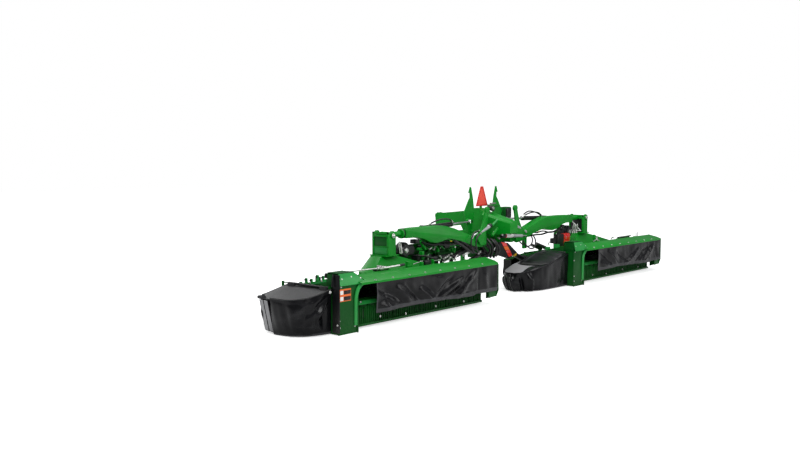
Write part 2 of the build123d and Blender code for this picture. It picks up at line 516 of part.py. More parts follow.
        for wall, way in ((wall_in, 1), (wall_out, -1)):
            bar((wall, ROTOR_AHEAD, ROTOR_Z), (wall + way * 22, ROTOR_AHEAD, ROTOR_Z), 70)
            bar((wall - way * 15, ROTOR_AHEAD, ROTOR_Z), (wall + way * 23, ROTOR_AHEAD, ROTOR_Z),
                JOURNAL_R + PIN_CLEARANCE, mode=Mode.SUBTRACT)
    save(unit_frame, f"{side}_unit_frame")

    # bevel gearbox on the outside of the inner end wall
    inner_face = wall_in - END_WALL if s > 0 else wall_out + END_WALL
    with BuildPart() as unit_gearbox:
        block(out(GEARBOX_INNER), inner_face, DRIVE_AHEAD - 75, DRIVE_AHEAD + 75, UNIT_BOX_Z - 85,
              UNIT_BOX_Z + 85)
        fillet(unit_gearbox.edges().filter_by(Axis.X), radius=25)
        bar((out(DRIVE_END), DRIVE_AHEAD, UNIT_BOX_Z), (out(GEARBOX_INNER + 10), DRIVE_AHEAD, UNIT_BOX_Z), 25)
        side_slab(min(out(GEARBOX_INNER + 30), inner_face), max(out(GEARBOX_INNER + 30), inner_face),
                  [(930, 330), (1070, 330), (1180, 200), (1180, 150), (1110, 150)])
    save(unit_gearbox, f"{side}_unit_gearbox")

    # hood: rear band and deck folded from one sheet, with a chamfered right corner
    with BuildPart() as hood:
        side_slab(LEFT_END, RIGHT_END,
                  [(0, LIP_HEIGHT - 28), (0, LIP_HEIGHT), (300, DECK_HEIGHT), (1090, DECK_FRONT),
                   (1128, DECK_FRONT - 23), (1122, DECK_FRONT - 29), (1085, DECK_FRONT - SHEET),
                   (301, DECK_HEIGHT - SHEET),
                   (SHEET, LIP_HEIGHT - SHEET + 2), (SHEET, LIP_HEIGHT - 28)])
        with BuildSketch(Plane.XY.offset(LIP_HEIGHT - 60)) as corner:
            with BuildLine():
                Polyline((RIGHT_END - 60, ahead(-1)), (RIGHT_END + 1, ahead(-1)), (RIGHT_END + 1, ahead(110)),
                         close=True)
            make_face()
        extrude(corner.sketch, amount=120, dir=(0, 0, 1), mode=Mode.SUBTRACT)
        block(LEFT_END - 1, LEFT_END + PANEL_WIDTH + SEAT_GAP, -1, SHOULDER_FRONT + 6, 600, 760, mode=Mode.SUBTRACT)
    save(hood, f"{side}_hood")

    # end panel at the unit's left end: upright sheet, shoulder and the arch beside it
    tongue = LEFT_END + CURTAIN_START[side] + 20
    edge = LEFT_END + PANEL_WIDTH
    hood_top = LIP_HEIGHT + (DECK_HEIGHT - LIP_HEIGHT) * PANEL_FRONT / 300
    slot_low = hood_top - SHEET - 2.8
    with BuildPart() as end_panel:
        with BuildSketch(Plane(origin=(0, ahead(PANEL_FRONT), 0), x_dir=(1, 0, 0), z_dir=(0, -1, 0))) as panel:
            with BuildLine():
                Polyline((tongue, 645), (edge + ARCH_R, 645))
                RadiusArc((edge + ARCH_R, 645), (edge, 645 - ARCH_R), -ARCH_R)
                Polyline((edge, 645 - ARCH_R), (edge, 0), (LEFT_END, 0), (LEFT_END, SHOULDER_TOP - 25),
                         (LEFT_END + 25, SHOULDER_TOP), (edge - 70, SHOULDER_TOP),
                         (edge + 70, DECK_HEIGHT + 2), (edge + 150, hood_top + SEAT_GAP),
                         (edge, hood_top + SEAT_GAP), (edge, slot_low), (tongue, slot_low),
                         (tongue, 645))
            make_face()
        extrude(panel.sketch, amount=SHEET, dir=(0, -1, 0))
        block(LEFT_END + 5, edge - 70, PANEL_FRONT - SHEET, SHOULDER_FRONT, SHOULDER_TOP - SHEET, SHOULDER_TOP)
        rear_slab(PANEL_FRONT - 1, SHOULDER_FRONT,
                  [(edge - 84, SHOULDER_TOP), (edge - 70, SHOULDER_TOP), (edge + 70, DECK_HEIGHT + 2),
                   (edge + 54, DECK_HEIGHT + 2)])
        rear_slab(SHOULDER_FRONT - SHEET, SHOULDER_FRONT,
                  [(LEFT_END, SHOULDER_TOP - 25), (LEFT_END + 25, SHOULDER_TOP), (edge - 70, SHOULDER_TOP),
                   (edge + 70, DECK_HEIGHT + 2), (LEFT_END, DECK_HEIGHT + 2)])
        side_slab(LEFT_END, LEFT_END + SHEET,
                  [(PANEL_FRONT - SHEET, 0), (PANEL_FRONT, 0), (PANEL_FRONT, 650), (SHOULDER_FRONT, 650),
                   (SHOULDER_FRONT, SHOULDER_TOP - 20), (PANEL_FRONT - SHEET, SHOULDER_TOP - 20)])
        block(edge - SHEET, edge, PANEL_FRONT - 40, PANEL_FRONT, 0, 645 - ARCH_R)
    save(end_panel, f"{side}_end_panel")

    # cutterbar: gear bed, a skid under each disc and the disc spindles
    disc_x = [UNIT_X - 20 + (i - (DISC_COUNT - 1) / 2) * DISC_PITCH for i in range(DISC_COUNT)]
    with BuildPart() as cutterbar:
        side_slab(wall_in, wall_out, [(BED_REAR, 70), (1240, BED_BOTTOM), (1430, BED_BOTTOM), (BED_FRONT, 72),
                                      (1440, BED_TOP - 10), (1400, BED_TOP), (1250, BED_TOP), (BED_REAR, 104)])
        for x in disc_x:
            side_slab(x - 130, x + 130, [(1080, 0), (1430, 0), (1505, 62), (1478, 80), (1430, BED_BOTTOM + 2),
                                         (1240, BED_BOTTOM + 2), (1080, 14)])
            bar((x, DISC_AHEAD, BED_TOP - 5), (x, DISC_AHEAD, 134), 72)
            bar((x, DISC_AHEAD, BED_TOP), (x, DISC_AHEAD, 175), SPINDLE_R)
    save(cutterbar, f"{side}_cutterbar")

    # discs, each with two knives, timed a quarter turn from its neighbours
    for i, x in enumerate(disc_x):
        turn = 0 if i % 2 == 0 else 90
        with BuildPart() as disc:
            bar((x, DISC_AHEAD, 150), (x, DISC_AHEAD, 165), DISC_R)
            with BuildSketch(Plane.XY.offset(165)) as crown:
                with Locations((x, ahead(DISC_AHEAD))):
                    Circle(110)
            extrude(crown.sketch, amount=22, dir=(0, 0, 1), taper=35)
            for flip in (0, 180):
                tip = radians(turn + flip)
                with BuildSketch(Plane(origin=(x, ahead(DISC_AHEAD), 140), x_dir=(cos(tip), sin(tip), 0),
                                       z_dir=(0, 0, 1))) as knife:
                    with Locations(((KNIFE_REACH + 140) / 2, 0)):
                        Rectangle(KNIFE_REACH - 140, 48)
                extrude(knife.sketch, amount=6, dir=(0, 0, 1))
                hinge = (x + 160 * cos(tip), DISC_AHEAD + 160 * sin(tip))
                bar((hinge[0], hinge[1], 141), (hinge[0], hinge[1], 151), 14)
            bar((x, DISC_AHEAD, 139), (x, DISC_AHEAD, 178), SPINDLE_R + PIN_CLEARANCE, mode=Mode.SUBTRACT)
        save(disc, f"{side}_disc_{i + 1}")

    # conditioner rotor with four rows of tines
    with BuildPart() as rotor:
        bar((wall_in + 25, ROTOR_AHEAD, ROTOR_Z), (wall_out - 25, ROTOR_AHEAD, ROTOR_Z), ROTOR_TUBE_R)
        bar((wall_in - 8, ROTOR_AHEAD, ROTOR_Z), (wall_out + 8, ROTOR_AHEAD, ROTOR_Z), JOURNAL_R)
        bar((wall_in + 40, ROTOR_AHEAD, ROTOR_Z), (wall_out - 40, ROTOR_AHEAD, ROTOR_Z), ROTOR_TUBE_R - 8,
            mode=Mode.SUBTRACT)
        tine_pitch = (wall_out - wall_in - 520) / (TINE_COUNT - 1)
        for row in range(4):
            angle = radians(45 + 90 * row)
            radial = (0, cos(angle), sin(angle))
            for tine in range(TINE_COUNT):
                x = wall_in + 150 + tine_pitch * (tine + row / 4)
                start = Vector(x, ahead(ROTOR_AHEAD), ROTOR_Z) + Vector(*radial) * (ROTOR_TUBE_R - 4)
                with BuildSketch(Plane(origin=start, x_dir=(1, 0, 0), z_dir=radial)) as blade:
                    Rectangle(60, 12)
                extrude(blade.sketch, amount=ROTOR_R - ROTOR_TUBE_R, dir=radial)
    save(rotor, f"{side}_rotor")

    # front guard over the cutterbar, on hinge tubes along the hood's front edge
    guard_left = wall_in + RUNNING_GAP + 1
    guard_right = wall_out - RUNNING_GAP - 1
    guard_edge = GUARD_HINGE_Z - GUARD_DROP
    with BuildPart() as front_guard:
        bar((guard_left, GUARD_HINGE, GUARD_HINGE_Z), (guard_right, GUARD_HINGE, GUARD_HINGE_Z), 14)
        side_slab(guard_left, guard_right,
                  [(GUARD_HINGE, GUARD_HINGE_Z + 7), (GUARD_FRONT, guard_edge), (GUARD_FRONT, guard_edge - SHEET),
                   (GUARD_HINGE, GUARD_HINGE_Z - 1)])
        for x in (guard_left, UNIT_X - 620, UNIT_X + 580, guard_right - 40):
            side_slab(x, x + 40, [(1162, GUARD_HINGE_Z), (GUARD_FRONT, guard_edge - 6),
                                  (GUARD_FRONT, guard_edge - 42), (1170, GUARD_HINGE_Z - 40)])
        side_slab(guard_left, guard_right,
                  [(GUARD_FRONT - 35, guard_edge + 2), (GUARD_FRONT, guard_edge - 6), (GUARD_FRONT, guard_edge - 47),
                   (GUARD_FRONT - 35, guard_edge - 47)])
        for x0, x1 in ((guard_left - 1, guard_left + 70), (guard_right - 70, guard_right + 1)):
            bar((x0, GUARD_HINGE, GUARD_HINGE_Z), (x1, GUARD_HINGE, GUARD_HINGE_Z), GUARD_PIN_R + PIN_CLEARANCE,
                mode=Mode.SUBTRACT)
    save(front_guard, f"{side}_front_guard")

    # front curtain, with a return at each end
    with BuildPart() as front_curtain:
        block(guard_left, guard_right, GUARD_FRONT + SOFT_GAP, GUARD_FRONT + 16, 90, guard_edge - 12)
        for x0 in (guard_left - 16 - SOFT_GAP, guard_right + SOFT_GAP):
            block(x0, x0 + 16, 1500, GUARD_FRONT + 16, 90, guard_edge - 22)
        block(guard_left - 16 - SOFT_GAP, guard_right + 16 + SOFT_GAP, GUARD_FRONT + SOFT_GAP, GUARD_FRONT + 16,
              90, guard_edge - 22)
    save(front_curtain, f"{side}_front_curtain")

    # side guard at the unit's left end: a sloping deck with a curtain round it
    nose = NOSE_REACH[side]
    front = NOSE_FRONT[side]
    inner = LEFT_END - RUNNING_GAP
    slope = degrees(atan2(NOSE_INNER_Z - NOSE_OUTER_Z[side], nose))

    def nose_outline(inset):
        """The guard's plan, drawn in by an inset on its three outer edges."""
        west = LEFT_END - nose + inset
        south = ahead(NOSE_REAR + inset)
        north = ahead(front - inset)
        rear_r = NOSE_REAR_R - inset
        front_r = NOSE_FRONT_R - inset
        Polyline((inner, south), (west + rear_r, south))
        RadiusArc((west + rear_r, south), (west, south + rear_r), rear_r)
        Polyline((west, south + rear_r), (west, north - front_r))
        RadiusArc((west, north - front_r), (west + front_r, north), front_r)
        Polyline((west + front_r, north), (inner, north), (inner, south))

    deck_plane = Plane(origin=(inner, 0, NOSE_INNER_Z), x_dir=(cos(radians(slope)), 0, sin(radians(slope))),
                       z_dir=(-sin(radians(slope)), 0, cos(radians(slope))))
    with BuildPart() as side_guard:
        with BuildSketch(Plane.XY.offset(300)) as plan:
            with BuildLine():
                nose_outline(0)
            make_face()
        extrude(plan.sketch, amount=400, dir=(0, 0, 1))
        split(bisect_by=deck_plane, keep=Keep.BOTTOM)
        split(bisect_by=deck_plane.offset(-18), keep=Keep.TOP)
        for y in (NOSE_REAR + 60, front - 200):
            block(inner - 60, inner - 20, y, y + 120, NOSE_INNER_Z - 30, NOSE_INNER_Z + 34)
        bar((inner - 20, NOSE_REAR + 40, NOSE_INNER_Z + 22), (inner - 20, front - 60, NOSE_INNER_Z + 22), 17)
        bar((inner - 20, NOSE_REAR + 39, NOSE_INNER_Z + 22), (inner - 20, front - 59, NOSE_INNER_Z + 22),
            GUARD_PIN_R + PIN_CLEARANCE, mode=Mode.SUBTRACT)
    save(side_guard, f"{side}_side_guard")

    with BuildPart() as side_curtain:
        with BuildSketch(Plane.XY.offset(NOSE_HEM)) as wall_plan:
            with BuildLine():
                nose_outline(4)
            make_face()
        extrude(wall_plan.sketch, amount=600, dir=(0, 0, 1))
        with BuildSketch(Plane.XY.offset(NOSE_HEM - 10)) as space:
            with BuildLine():
                nose_outline(28)
            make_face()
        extrude(space.sketch, amount=640, dir=(0, 0, 1), mode=Mode.SUBTRACT)
        split(bisect_by=deck_plane.offset(-18 - SOFT_GAP), keep=Keep.BOTTOM)
    save(side_curtain, f"{side}_side_curtain")

    # rear curtain below the lip
    with BuildPart() as rear_curtain:
        block(LEFT_END + CURTAIN_START[side], RIGHT_END - 66, SHEET + SOFT_GAP, 24, 235, LIP_HEIGHT - 14)
    save(rear_curtain, f"{side}_rear_curtain")
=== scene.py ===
# %% [markdown]
# # Dressing a twin-wing disc mower conditioner
# The steel of this machine comes ready made from its CAD model, in metres: +X is the machine's right,
# +Y points forward to the tractor and +Z is up. This lesson adds what CAD leaves plain: paint, curtains
# of coated cloth, bolts, hoses, lamps and linkages. Loading the frame first means that every place can
# be read from a real part instead of being guessed.

# %% Load the frame
import bpy
import json
import math
import random
from functools import partial
from mathutils import Euler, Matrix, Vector


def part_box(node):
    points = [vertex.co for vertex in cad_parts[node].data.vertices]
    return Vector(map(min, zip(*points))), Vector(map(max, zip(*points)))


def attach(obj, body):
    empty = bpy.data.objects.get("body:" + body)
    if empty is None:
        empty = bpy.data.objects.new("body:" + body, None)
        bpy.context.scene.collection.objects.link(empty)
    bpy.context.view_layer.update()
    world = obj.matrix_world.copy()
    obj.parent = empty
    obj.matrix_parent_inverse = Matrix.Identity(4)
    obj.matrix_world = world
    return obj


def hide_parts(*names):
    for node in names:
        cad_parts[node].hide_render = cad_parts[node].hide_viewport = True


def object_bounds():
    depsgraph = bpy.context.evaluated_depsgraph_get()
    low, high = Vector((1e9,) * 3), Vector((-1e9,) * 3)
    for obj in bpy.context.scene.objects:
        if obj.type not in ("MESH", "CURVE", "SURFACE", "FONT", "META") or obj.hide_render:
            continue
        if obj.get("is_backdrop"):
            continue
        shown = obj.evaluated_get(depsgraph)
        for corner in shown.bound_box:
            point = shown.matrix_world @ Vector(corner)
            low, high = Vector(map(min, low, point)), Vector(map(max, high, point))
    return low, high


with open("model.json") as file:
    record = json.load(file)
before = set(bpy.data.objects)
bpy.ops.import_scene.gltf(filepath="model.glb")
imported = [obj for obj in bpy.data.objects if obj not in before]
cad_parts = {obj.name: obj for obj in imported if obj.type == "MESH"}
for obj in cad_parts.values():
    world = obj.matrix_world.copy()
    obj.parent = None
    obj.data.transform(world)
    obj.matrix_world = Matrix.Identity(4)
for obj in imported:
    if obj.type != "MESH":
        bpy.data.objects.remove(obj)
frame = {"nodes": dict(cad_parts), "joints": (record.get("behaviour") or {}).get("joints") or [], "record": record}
cad_low, cad_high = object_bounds()
print("CAD box", [round(v, 3) for v in cad_low], [round(v, 3) for v in cad_high])

# %% [markdown]
# ## Camera
# The machine is seen from behind its left wing, at eye height and with a slightly long lens. The camera
# comes first, because the cords are measured against what it sees.

# %% Place the camera
camera_data = bpy.data.cameras.new("camera")
camera_data.lens = 39.41
camera_data.sensor_width = 36
camera_data.clip_end = 200
camera = bpy.data.objects.new("camera", camera_data)
camera.location = (-12.625, -9.042, 2.234)
camera.rotation_euler = Euler((math.radians(86.05), 0, math.radians(-49.3)))
bpy.context.scene.collection.objects.link(camera)
bpy.context.scene.camera = camera
print("camera", tuple(round(v, 2) for v in camera.location))

# %% [markdown]
# ## Studio
# A white sweep with large soft lamps gives broad highlights on paint and cloth. The floor and the sky are
# white to the camera only, so that the white does not come from more light on the machine.

# %% Lamps, sky and floor
LAMPS = [  # name, place, aimed at, width, height, power
    ("key", (-9.5, -9.0, 8.0), (0.0, 0.0, 0.6), 7.0, 4.0, 950),
    ("top", (1.0, 0.5, 9.0), (0.5, 0.0, 0.0), 12.0, 6.0, 700),
    ("fill", (6.5, -10.0, 4.5), (1.5, 0.0, 0.5), 7.0, 4.0, 260),
    ("back", (-3.0, 10.0, 6.0), (0.0, 0.0, 0.6), 10.0, 4.0, 500),
]
for name, place, target, width, height, power in LAMPS:
    lamp_data = bpy.data.lights.new(name, "AREA")
    lamp_data.shape = "RECTANGLE"
    lamp_data.size = width
    lamp_data.size_y = height
    lamp_data.energy = power
    lamp = bpy.data.objects.new(name, lamp_data)
    lamp.location = place
    lamp.rotation_euler = (Vector(target) - Vector(place)).to_track_quat("-Z", "Y").to_euler()
    bpy.context.scene.collection.objects.link(lamp)


def add_node(tree, kind, inputs=None, operation=None):
    """A node whose inputs, by name or number, take sockets or plain values."""
    node = tree.nodes.new(kind)
    if operation:
        node.operation = operation
    for label, value in (inputs or {}).items():
        if isinstance(value, bpy.types.NodeSocket):
            tree.links.new(value, node.inputs[label])
        else:
            node.inputs[label].default_value = value
    return node


world = bpy.data.worlds.new("studio")
bpy.context.scene.world = world
world.use_nodes = True
tree = world.node_tree
tree.nodes.clear()
path = add_node(tree, "ShaderNodeLightPath").outputs
seen = add_node(tree, "ShaderNodeMath", {0: path["Is Camera Ray"], 1: path["Is Transmission Ray"]},
                "MAXIMUM")
lit_sky = add_node(tree, "ShaderNodeBackground", {"Color": (0.93, 0.96, 1.0, 1), "Strength": 0.26})
white_sky = add_node(tree, "ShaderNodeBackground", {"Color": (1, 1, 1, 1), "Strength": 1.0})
mix = add_node(tree, "ShaderNodeMixShader",
               {"Fac": seen.outputs[0], 1: lit_sky.outputs[0], 2: white_sky.outputs[0]})
add_node(tree, "ShaderNodeOutputWorld", {"Surface": mix.outputs[0]})
bpy.context.scene.view_settings.view_transform = "Standard"


def deselect():
    """Operators act on all that is selected, so nothing may be left selected by accident."""
    if bpy.context.object and bpy.context.object.mode != "OBJECT":
        bpy.ops.object.mode_set(mode="OBJECT")
    bpy.ops.object.select_all(action="DESELECT")


deselect()
bpy.ops.mesh.primitive_plane_add(size=120, location=(0, 0, cad_low.z - 0.002))
floor = bpy.context.object
floor.name = "floor"
floor_paint = bpy.data.materials.new("floor")
floor_paint.use_nodes = True
tree = floor_paint.node_tree
tree.nodes.clear()
place = add_node(tree, "ShaderNodeTexCoord").outputs["Object"]
spread = add_node(tree, "ShaderNodeVectorMath", {0: place}, "LENGTH")
fade = add_node(tree, "ShaderNodeMapRange", {"Value": spread.outputs["Value"], "From Min": 6.0,
                                             "From Max": 13.0, "To Min": 0.62, "To Max": 1.0})
camera_ray = add_node(tree, "ShaderNodeLightPath").outputs["Is Camera Ray"]
gate = add_node(tree, "ShaderNodeMath", {0: camera_ray, 1: fade.outputs["Result"]}, "MULTIPLY")
matte = add_node(tree, "ShaderNodeBsdfDiffuse", {"Color": (0.85, 0.85, 0.85, 1)})
glow = add_node(tree, "ShaderNodeEmission", {"Strength": gate.outputs[0]})
both = add_node(tree, "ShaderNodeAddShader", {0: matte.outputs[0], 1: glow.outputs[0]})
add_node(tree, "ShaderNodeOutputMaterial", {"Surface": both.outputs[0]})
floor.data.materials.append(floor_paint)
floor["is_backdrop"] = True
print("studio with", len(LAMPS), "lamps")

# %% [markdown]
# ## Shared surface effects
# Paint, plastic and steel on a farm machine share the same small faults: uneven tone, a film of dust on
# faces that look up, dirt near the ground and a fine ripple. One node group makes them all and each
# material sets its own amounts. A second group makes the weave and the scuffs of coated cloth.

# %% Build the surface groups


def new_group(name, numbers, colours):
    """An empty shader group with number and colour inputs, and the outputs Color, Roughness and Height."""
    group = bpy.data.node_groups.new(name, "ShaderNodeTree")
    for label, value in colours:
        socket = group.interface.new_socket(label, in_out="INPUT", socket_type="NodeSocketColor")
        socket.default_value = value
    for label, value in numbers:
        socket = group.interface.new_socket(label, in_out="INPUT", socket_type="NodeSocketFloat")
        socket.default_value = value
    group.interface.new_socket("Color", in_out="OUTPUT", socket_type="NodeSocketColor")
    group.interface.new_socket("Roughness", in_out="OUTPUT", socket_type="NodeSocketFloat")
    group.interface.new_socket("Height", in_out="OUTPUT", socket_type="NodeSocketFloat")
    return group, group.nodes.new("NodeGroupInput"), group.nodes.new("NodeGroupOutput")


def math_node(tree, operation, first, second, clamp=False):
    """A Math node whose two inputs are sockets or plain numbers."""
    node = add_node(tree, "ShaderNodeMath", {0: first, 1: second}, operation)
    node.use_clamp = clamp
    return node.outputs[0]


def noise_node(tree, vector, scale, detail=4.0, stretch=None):
    """A noise texture on given coordinates, stretched along an axis where asked."""
    if stretch:
        vector = add_node(tree, "ShaderNodeMapping", {"Scale": stretch, "Vector": vector}).outputs["Vector"]
    noise = add_node(tree, "ShaderNodeTexNoise", {"Scale": scale, "Detail": detail, "Vector": vector})
    return noise.outputs["Fac"]


def mix_colour(tree, amount, first, second):
    """A colour mix whose inputs are sockets or plain values."""
    node = tree.nodes.new("ShaderNodeMix")
    node.data_type = "RGBA"
    sockets = [s for s in node.inputs if s.enabled]
    for socket, value in zip(sockets, (amount, first, second)):
        if hasattr(value, "links"):
            tree.links.new(value, socket)
        else:
            socket.default_value = value
    return [s for s in node.outputs if s.enabled][0]


def remap(tree, value, low, high, to_low=0.0, to_high=1.0):
    """Stretches a number from one range to another and clamps it."""
    node = add_node(tree, "ShaderNodeMapRange", {"Value": value, "From Min": low, "From Max": high,
                                                 "To Min": to_low, "To Max": to_high})
    return node.outputs["Result"]


weathering, weather_in, weather_out = new_group(
    "weathering",
    [("Base Roughness", 0.35), ("Mottle", 0.08), ("Dust", 0.12), ("Ground Dirt", 0.2), ("Ripple", 0.15)],
    [("Base", (0.5, 0.5, 0.5, 1)), ("Dust Colour", (0.3, 0.29, 0.24, 1))])
wt = weathering
place = wt.nodes.new("ShaderNodeTexCoord").outputs["Object"]
normal = wt.nodes.new("ShaderNodeNewGeometry").outputs["Normal"]
facing = add_node(wt, "ShaderNodeSeparateXYZ", {0: normal})
height = add_node(wt, "ShaderNodeSeparateXYZ", {0: place})
broad = noise_node(wt, place, 2.6, 5)
fine = noise_node(wt, place, 38, 3)
tone = remap(wt, broad, 0.3, 0.7, -1.0, 1.0)
tone = math_node(wt, "MULTIPLY", tone, weather_in.outputs["Mottle"])
bright = math_node(wt, "ADD", tone, 1.0)
tint = add_node(wt, "ShaderNodeVectorMath", {0: weather_in.outputs["Base"], "Scale": bright}, "SCALE")
up = remap(wt, facing.outputs["Z"], 0.2, 0.95)
patch = remap(wt, broad, 0.42, 0.62, 0.25, 1.0)
film = math_node(wt, "MULTIPLY", math_node(wt, "MULTIPLY", up, patch), weather_in.outputs["Dust"])
low = remap(wt, height.outputs["Z"], 0.45, 0.0)
splash = math_node(wt, "MULTIPLY", low, remap(wt, fine, 0.35, 0.75, 0.2, 1.0))
splash = math_node(wt, "MULTIPLY", splash, weather_in.outputs["Ground Dirt"])
dirt = math_node(wt, "MAXIMUM", film, splash, clamp=True)
soiled = mix_colour(wt, dirt, tint.outputs[0], weather_in.outputs["Dust Colour"])
wt.links.new(soiled, weather_out.inputs["Color"])
rough = math_node(wt, "ADD", weather_in.outputs["Base Roughness"], math_node(wt, "MULTIPLY", dirt, 0.45))
rough = math_node(wt, "ADD", rough, remap(wt, fine, 0.3, 0.7, -0.04, 0.04), clamp=True)
wt.links.new(rough, weather_out.inputs["Roughness"])
ripple = noise_node(wt, place, 75, 2)
wt.links.new(math_node(wt, "MULTIPLY", ripple, weather_in.outputs["Ripple"]), weather_out.inputs["Height"])

coating, coat_in, coat_out = new_group(
    "coated_cloth", [("Base Roughness", 0.4), ("Scuffs", 0.5), ("Threads", 260.0)],
    [("Base", (0.02, 0.02, 0.022, 1)), ("Scuff Colour", (0.16, 0.16, 0.17, 1))])
ct = coating
uv = ct.nodes.new("ShaderNodeTexCoord").outputs["UV"]
body_place = ct.nodes.new("ShaderNodeTexCoord").outputs["Object"]
threads = []
for direction in ("X", "Y"):
    wave = add_node(ct, "ShaderNodeTexWave", {"Vector": uv, "Scale": coat_in.outputs["Threads"],
                                              "Distortion": 0.6})
    wave.bands_direction = direction
    threads.append(wave.outputs["Fac"])
weave = math_node(ct, "MAXIMUM", threads[0], threads[1])
streaks = noise_node(ct, body_place, 3.5, 6, stretch=(1.0, 1.0, 3.0))
smears = noise_node(ct, body_place, 14, 4, stretch=(0.5, 0.5, 1.6))
scuff = math_node(ct, "MULTIPLY", remap(ct, streaks, 0.5, 0.78), remap(ct, smears, 0.35, 0.7))
scuff = math_node(ct, "MULTIPLY", scuff, coat_in.outputs["Scuffs"], clamp=True)
scuffed = mix_colour(ct, scuff, coat_in.outputs["Base"], coat_in.outputs["Scuff Colour"])
ct.links.new(scuffed, coat_out.inputs["Color"])
matt = math_node(ct, "MULTIPLY", scuff, 0.35)
matt = math_node(ct, "ADD", coat_in.outputs["Base Roughness"], matt, clamp=True)
ct.links.new(matt, coat_out.inputs["Roughness"])
relief = math_node(ct, "ADD", math_node(ct, "MULTIPLY", weave, 0.25), math_node(ct, "MULTIPLY", smears, 0.7))
ct.links.new(relief, coat_out.inputs["Height"])
print("groups", [g.name for g in bpy.data.node_groups])

# %% [markdown]
# ## Materials
# Every finish is a Principled shader fed by one of the two groups. Numbers that are the same all over a
# surface, such as the clear coat on the paint, are set on the shader's own sockets.

# %% Make the materials
FINISHES = {}


def finish_of(name, group, values, metallic=0.0, coat=0.0, coat_roughness=0.1, bump=0.12, distance=0.001,
              specular=0.5):
    """Adds a Principled material that takes colour, roughness and bump from a surface group."""
    material = bpy.data.materials.new(name)
    material.use_nodes = True
    tree = material.node_tree
    shader = tree.nodes["Principled BSDF"]
    effect = tree.nodes.new("ShaderNodeGroup")
    effect.node_tree = group
    for label, value in values.items():
        effect.inputs[label].default_value = value
    tree.links.new(effect.outputs["Color"], shader.inputs["Base Color"])
    tree.links.new(effect.outputs["Roughness"], shader.inputs["Roughness"])
    relief = add_node(tree, "ShaderNodeBump", {"Strength": bump, "Distance": distance,
                                               "Height": effect.outputs["Height"]})
    tree.links.new(relief.outputs["Normal"], shader.inputs["Normal"])
    shader.inputs["Metallic"].default_value = metallic
    shader.inputs["Coat Weight"].default_value = coat
    shader.inputs["Coat Roughness"].default_value = coat_roughness
    shader.inputs["Specular IOR Level"].default_value = specular
    FINISHES[name] = material


def weathered(name, base, roughness, dust=0.1, dirt=0.15, mottle=0.08, ripple=0.15, **shader_values):
    """A hard surface: paint, plastic or bare metal."""
    values = {"Base": (*base, 1), "Base Roughness": roughness, "Dust": dust, "Ground Dirt": dirt,
              "Mottle": mottle, "Ripple": ripple}
    finish_of(name, weathering, values, **shader_values)


weathered("green_paint", (0.0, 0.23, 0.012), 0.4, dust=0.0, dirt=0.03, coat=0.08, coat_roughness=0.08,
          specular=0.2)
# A lighter copy of the frame green with a little dust: it paints the light on faces that catch the lamps and
# highlights along rolled edges and tubes.
weathered("worn_green", (0.012, 0.27, 0.045), 0.42, dust=0.06, dirt=0.1, mottle=0.14, coat=0.1, specular=0.3)
weathered("decal_orange", (0.75, 0.13, 0.012), 0.45, dust=0.0, dirt=0.0, mottle=0.05)
# A light grey for the clear strips: it paints the highlights that their glossy faces show.
weathered("clear_black", (0.24, 0.24, 0.25), 0.14, dust=0.0, dirt=0.1, mottle=0.2, ripple=0.8, coat=0.5,
          coat_roughness=0.12)
# A much darker copy of the frame green for the end panels: it paints the shade on the panels' faces.
weathered("shaded_green", (0.0, 0.068, 0.0065), 0.42, dust=0.0, dirt=0.08, mottle=0.12, coat=0.04,
          specular=0.14)
# A darker copy of the frame green: it paints the shade under the hoods, curtains and arms.
weathered("dark_green", (0.0, 0.085, 0.007), 0.45, dust=0.0, dirt=0.06, coat=0.05, specular=0.2)
weathered("cast_green", (0.0, 0.13, 0.01), 0.5, dust=0.0, specular=0.25, mottle=0.16, ripple=0.8, bump=0.5,
          distance=0.003)
weathered("black_paint", (0.004, 0.0045, 0.005), 0.38, dust=0.0, coat=0.1, specular=0.3)
weathered("zinc", (0.62, 0.62, 0.6), 0.32, dust=0.02, mottle=0.12, metallic=1.0)
weathered("chrome", (0.78, 0.79, 0.8), 0.1, dust=0.0, dirt=0.0, mottle=0.02, metallic=1.0)
weathered("cut_steel", (0.34, 0.33, 0.32), 0.42, dust=0.1, dirt=0.35, mottle=0.25, metallic=1.0)
weathered("deck_plastic", (0.02, 0.02, 0.022), 0.5, dust=0.06, specular=0.4, ripple=0.6, bump=0.35,
          distance=0.002)
weathered("moulded_black", (0.003, 0.0035, 0.0045), 0.34, dust=0.0, coat=0.15, coat_roughness=0.05,
          specular=0.35)
weathered("guard_plastic", (0.004, 0.004, 0.0045), 0.4, dust=0.02, specular=0.35)
weathered("rubber", (0.012, 0.012, 0.013), 0.55, dust=0.1, ripple=0.4, bump=0.3)
weathered("signal_red", (0.9, 0.075, 0.045), 0.55, dust=0.0, dirt=0.0, mottle=0.04)
weathered("border_red", (0.62, 0.008, 0.006), 0.3, dust=0.0, dirt=0.0, mottle=0.04)
weathered("lamp_orange", (0.9, 0.16, 0.01), 0.15, dust=0.02, coat=0.6)
weathered("lamp_red", (0.7, 0.012, 0.008), 0.15, dust=0.02, coat=0.6)
weathered("plain_white", (0.75, 0.75, 0.73), 0.4, dust=0.04)
weathered("plain_yellow", (0.8, 0.5, 0.02), 0.4, dust=0.04)
weathered("grey_enamel", (0.35, 0.37, 0.38), 0.35, dust=0.05, coat=0.3)
finish_of("tarpaulin", coating, {"Base": (0.0032, 0.0032, 0.004, 1), "Base Roughness": 0.24, "Scuffs": 0.12},
          bump=0.22, distance=0.0015, specular=0.21)
finish_of("hem", coating, {"Base": (0.022, 0.022, 0.025, 1), "Base Roughness": 0.5, "Scuffs": 0.4},
          bump=0.25, distance=0.0015)
